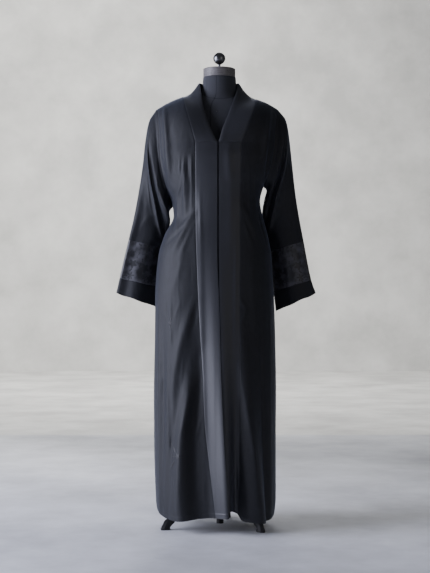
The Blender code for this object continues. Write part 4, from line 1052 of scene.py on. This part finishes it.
jersey = make_material("black cotton jersey cover, knitted", jersey_recipe)
wood = make_material("turned beech, grey-stained", wood_recipe)
steel = make_material("turned steel, polished and darkened", steel_recipe)
iron = make_material("black satin paint on cast iron", iron_recipe)

# %% [markdown]
# ## Floor, wall and light
# A pale floor runs back to a far pale wall, and past a line behind the stand it is painted like the
# wall. The floor's paint also holds painted shade, going darker towards the right and the back, away
# from the window. One very large soft light from the wearer's right does almost all of the work, as a
# window does, and the other side is left dim. A faint light behind shows the back's own folds.

# %% Floor and wall
def paint_recipe(tree, near, painted_shade, far, turn_y, wear):
    """Clouded paint, with painted shade away from the window and another colour beyond turn_y."""
    place = coordinates(tree, "Object")
    cloud = noise(tree, place, 2.2, 6.0, Roughness=0.62)
    parts = add_node(tree, "SeparateXYZ", Vector=place)
    beyond = ranged(tree, parts.outputs["Y"], From_Min=turn_y, From_Max=turn_y + 0.06)
    # painted shade: the near colour goes over to a darker one towards the right and the back, away from the
    # window
    reach = maths(tree, "MULTIPLY_ADD", parts.outputs["X"], 0.5, parts.outputs["Y"])
    away = ranged(tree, reach, From_Min=0.8, From_Max=2.1)
    paint = blend(tree, beyond, blend(tree, away, near, painted_shade), far)
    worn = ranged(tree, cloud, From_Min=0.35, From_Max=0.65, To_Min=wear)
    tone = add_node(tree, "VectorMath", {"operation": "SCALE"}, Vector=paint, Scale=worn)
    return dict(Base_Color=tone.outputs[0], Roughness=0.75, Normal=bump(tree, cloud, 0.3, 0.004),
                Specular_IOR_Level=0.3)


# The floor's second colour is painted shade, for the floor's darker parts away from the window.
FLOOR_PAINT = ("#f0f2f8", "#9fa1a6", "#afafae", 2.56, 0.70)
WALL_PAINT = ("#c4c4c2", "#c4c4c2", "#c4c4c2", 99.0, 0.76)


def stage_plane(name, size, turn, place, material):
    bpy.ops.mesh.primitive_plane_add(size=1, location=(0, 0, 0))
    plane = bpy.context.object
    plane.name = name
    plane.scale, plane.rotation_euler, plane.location = size, (math.radians(turn), 0, 0), place
    bpy.ops.object.transform_apply(location=True, rotation=True, scale=True)
    plane.data.materials.append(material)
    return plane


floor = stage_plane("floor", (24, 20, 1), 0, (0, -2.2, 0),
                    make_material("pale floor paint", paint_recipe, *FLOOR_PAINT))
wall = stage_plane("wall", (24, 9, 1), 90, (0, 7.8, 4.5),
                   make_material("pale lime wash", paint_recipe, *WALL_PAINT))
print("floor and wall in place")

# %% Light
def area_light(name, place, aim, size, watts, colour):
    bpy.ops.object.light_add(type="AREA", location=place)
    lamp = bpy.context.object
    lamp.name = name
    lamp.data.shape, lamp.data.size, lamp.data.size_y = "RECTANGLE", size[0], size[1]
    lamp.data.energy, lamp.data.color = watts, linear(colour)[:3]
    lamp.rotation_euler = (Vector(aim) - Vector(place)).to_track_quat("-Z", "Y").to_euler()
    return lamp


world = bpy.data.worlds.new("dim studio")
bpy.context.scene.world = world
world.use_nodes = True
fill_inputs(world.node_tree, world.node_tree.nodes["Background"], dict(Color="#b9bcc4", Strength=0.19))
area_light("window", (-3.3, -0.95, 1.45), (0, 0, 0.85), (2.2, 2.8), 242, "#e7eaff")
area_light("far fill", (2.6, -3.0, 1.7), (0, 0, 1.1), (2.0, 2.0), 9, "#fff8ee")
wash = area_light("wall wash", (-1.6, 3.2, 7.0), (-0.9, 6.6, 0.0), (5.0, 3.0), 560, "#fffdf8")
wash.data.spread = math.radians(95)        # lights the wall and not the form in front of it
area_light("rear fill", (-0.3, 6.0, 4.2), (0, 0.2, 0.7), (3.0, 2.0), 85, "#f6f7ff")

# %% [markdown]
# ## The dress form
# The form is a hollow padded shell under a jersey cover. The cover is cut in panels, and their
# seams run down the middle, over the bust and round the foot of the neck. Each point keeps its
# distance to the nearest seam, and the jersey draws the seam from it.

# %% Dress form
FORM_X = 0.0135
FORM = Table("z half front back", [
    (745, 150, 100, 112), (755, 156, 106, 120), (820, 164, 114, 130), (900, 160, 112, 126),
    (970, 142, 103, 112), (1030, 122, 96, 98), (1080, 118, 96, 92), (1140, 126, 106, 92),
    (1200, 140, 122, 96), (1250, 150, 128, 100), (1300, 158, 118, 104), (1345, 168, 98, 102),
    (1385, 176, 84, 92), (1412, 176, 72, 78), (1430, 160, 65, 66), (1443, 132, 61, 62),
    (1453, 98, 58, 59), (1465, 70, 55.5, 57), (1485, 59.5, 53, 55.5), (1509, 57.2, 51.5, 54.5),
    (1533, 56, 51, 54)])
FORM_FOOT, CHEST_Z, FORM_TOP = 0.745, 1.34, 1.533
NECK_SEAM_Z, NECK_SEAM_DIP = 1.484, 0.030
FORM_WALL_MM = 3.0
FORM_SEAMS = [0, 36, 100, 141, 180, 222, 260, 324]        # degrees round; 270 faces the front


def form_point(z, turn):
    """A point of the form, or an array of them, at heights and turns about its middle."""
    sine, cosine = np.sin(turn), np.cos(turn)
    depth = np.where(sine >= 0, FORM.at("back", z), FORM.at("front", z))
    return np.stack([FORM_X + FORM.at("half", z) * cosine, depth * sine, z], axis=-1)


turns = np.unique(np.concatenate([np.arange(0, 360, 2.5), FORM_SEAMS]))
levels = np.unique(np.round(np.append(np.linspace(FORM_FOOT, FORM_TOP, 120), NECK_SEAM_Z), 5))
z, turn = np.meshgrid(levels, np.radians(turns), indexing="ij")
dip = NECK_SEAM_DIP * np.clip(-np.sin(turn), 0, 1) ** 1.5
z = z - dip * np.interp(z, [CHEST_Z, NECK_SEAM_Z, FORM_TOP], [0, 1, 0])
form_grid = form_point(z, turn)
apart = np.abs((turns[:, None] - np.array(FORM_SEAMS) + 180) % 360 - 180).min(axis=1)
girth = np.linalg.norm(form_grid[..., :2] - [FORM_X, 0], axis=-1)
to_seam = np.minimum(np.radians(apart)[None, :] * girth, np.abs(levels - NECK_SEAM_Z)[:, None])
form = cloth_object("form_cover", form_grid, 1, True, jersey, FORM_WALL_MM)
seam_mm = form.data.attributes.new("seam_mm", "FLOAT", "POINT")
seam_mm.data.foreach_set("value", np.tile(to_seam.reshape(-1) * 1000, 2)[:len(form.data.vertices)])
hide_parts("form_torso")
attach(form, "root")
print("form cover:", len(form.data.polygons), "faces,", len(FORM_SEAMS), "panels round it")

# %% [markdown]
# ## Cap, knob and pin
# The wooden cap is turned: a disc with its rim rounded over and a fine groove near its foot. The
# knob is a ball on a short stem. Both are spun from a profile that is drawn by extruding a point.
# A pin with a flat head is stuck in the form's chest.

# %% Turned parts
def turned(name, profile, place, material, sides=72):
    """Spin a profile of (radius, height) points, bottom to top, about the vertical axis."""
    bpy.ops.object.select_all(action="DESELECT")
    bpy.ops.mesh.primitive_plane_add(size=0.01, location=(0, 0, 0))
    piece = bpy.context.object
    piece.name = piece.data.name = name
    bpy.ops.object.mode_set(mode="EDIT")
    bpy.ops.mesh.select_all(action="SELECT")
    bpy.ops.mesh.merge(type="CENTER")      # one point, from which the profile is drawn
    for before, after in zip(profile, profile[1:]):
        step = (after[0] - before[0], 0, after[1] - before[1])
        bpy.ops.mesh.extrude_vertices_move(TRANSFORM_OT_translate={"value": step})
    bpy.ops.mesh.select_all(action="SELECT")
    bpy.ops.mesh.spin(steps=sides, angle=2 * math.pi, center=(0, 0, 0), axis=(0, 0, 1))
    bpy.ops.mesh.select_all(action="SELECT")
    bpy.ops.mesh.remove_doubles(threshold=0.00002)
    bpy.ops.mesh.normals_make_consistent(inside=False)
    bpy.ops.object.mode_set(mode="OBJECT")
    bpy.ops.object.shade_smooth_by_angle(angle=math.radians(38))
    piece.location = place
    bpy.ops.object.transform_apply(location=True, rotation=False, scale=False)
    piece.data.materials.append(material)
    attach(piece, "root")
    piece.select_set(False)
    return piece


def rounded(radius, height, turn, start, end, steps=6):
    """Points of a quarter round on a profile, by the angles of its start and end."""
    angles = np.radians(np.linspace(start, end, steps + 1))
    return [(radius + turn * math.cos(a), height + turn * math.sin(a)) for a in angles]


CAP_PLACE, KNOB_PLACE = (0.0130, 0, 1.5335), (0.0130, 0, 1.5639)
cap_profile = [(0.0, 0.0), (0.0530, 0.0)] + rounded(0.0532, 0.0016, 0.0014, -70, 0, 3)
cap_profile += [(0.0546, 0.0056), (0.0539, 0.0062), (0.0546, 0.0068)]
cap_profile += rounded(0.0522, 0.0274, 0.0025, 0, 90) + [(0.030, 0.0301), (0.0, 0.0302)]
cap = turned("neck_cap_turned", cap_profile, CAP_PLACE, wood, 96)
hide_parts("neck_cap")
BALL, STEM = 0.0208, 0.0043
ball_middle = 0.0150 + BALL - 0.0005
knob_profile = [(0.0, 0.0), (0.0095, 0.0), (0.0098, 0.0009), (0.0080, 0.0020), (STEM, 0.0026)]
knob_profile += [(STEM * 0.93, 0.008), (STEM, 0.0140)]
knob_profile += [(BALL * math.cos(a), ball_middle + BALL * math.sin(a))
                 for a in np.radians(np.linspace(-76, 90, 40))]
knob = turned("knob_turned", knob_profile, KNOB_PLACE, steel)
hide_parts("finial")
print("cap and knob turned, top at", round(max(v.co.z for v in knob.data.vertices), 4))

# %% Pin
PIN_X, PIN_Z, PIN_HEAD = 0.0039, 1.408, 0.0023
PIN_DEPTH, PIN_EDGE, PIN_SPAN = 0.0016, 0.0003, 0.004
pin_turn = -math.acos((PIN_X - FORM_X) / float(FORM.at("half", PIN_Z)))
pin_place = form_point(np.array([PIN_Z]), np.array([pin_turn]))[0]
forward = FORM.at("front", np.array([PIN_Z - PIN_SPAN, PIN_Z + PIN_SPAN]))
pin_slope = math.atan((forward[0] - forward[1]) / (2 * PIN_SPAN))
bpy.ops.object.select_all(action="DESELECT")
bpy.ops.mesh.primitive_cylinder_add(vertices=32, radius=PIN_HEAD, depth=PIN_DEPTH,
                                    location=(PIN_X, pin_place[1], PIN_Z),
                                    rotation=(math.pi / 2 - pin_slope, 0, 0))
pin = bpy.context.object
pin.name = "chest_pin"
bpy.ops.object.transform_apply(location=True, rotation=True, scale=False)
bpy.ops.object.mode_set(mode="EDIT")
bpy.ops.mesh.select_all(action="SELECT")
bpy.ops.mesh.bevel(offset=PIN_EDGE, segments=2)
bpy.ops.object.mode_set(mode="OBJECT")
bpy.ops.object.shade_smooth_by_angle(angle=math.radians(60))
pin.data.materials.append(steel)
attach(pin, "root")
pin.select_set(False)
print("pin at", [round(float(v), 4) for v in pin_place])

# %% [markdown]
# ## Pole and cast foot
# The pole, the hub and the three legs are right as solids, so they keep their shape and take the
# black satin paint of the cast iron.

# %% Painted iron
for name in ("pole", "leg_hub", "leg_right", "leg_left", "leg_back"):
    node = bpy.data.objects[name]
    node.data.materials.clear()
    node.data.materials.append(iron)
print("stand painted")
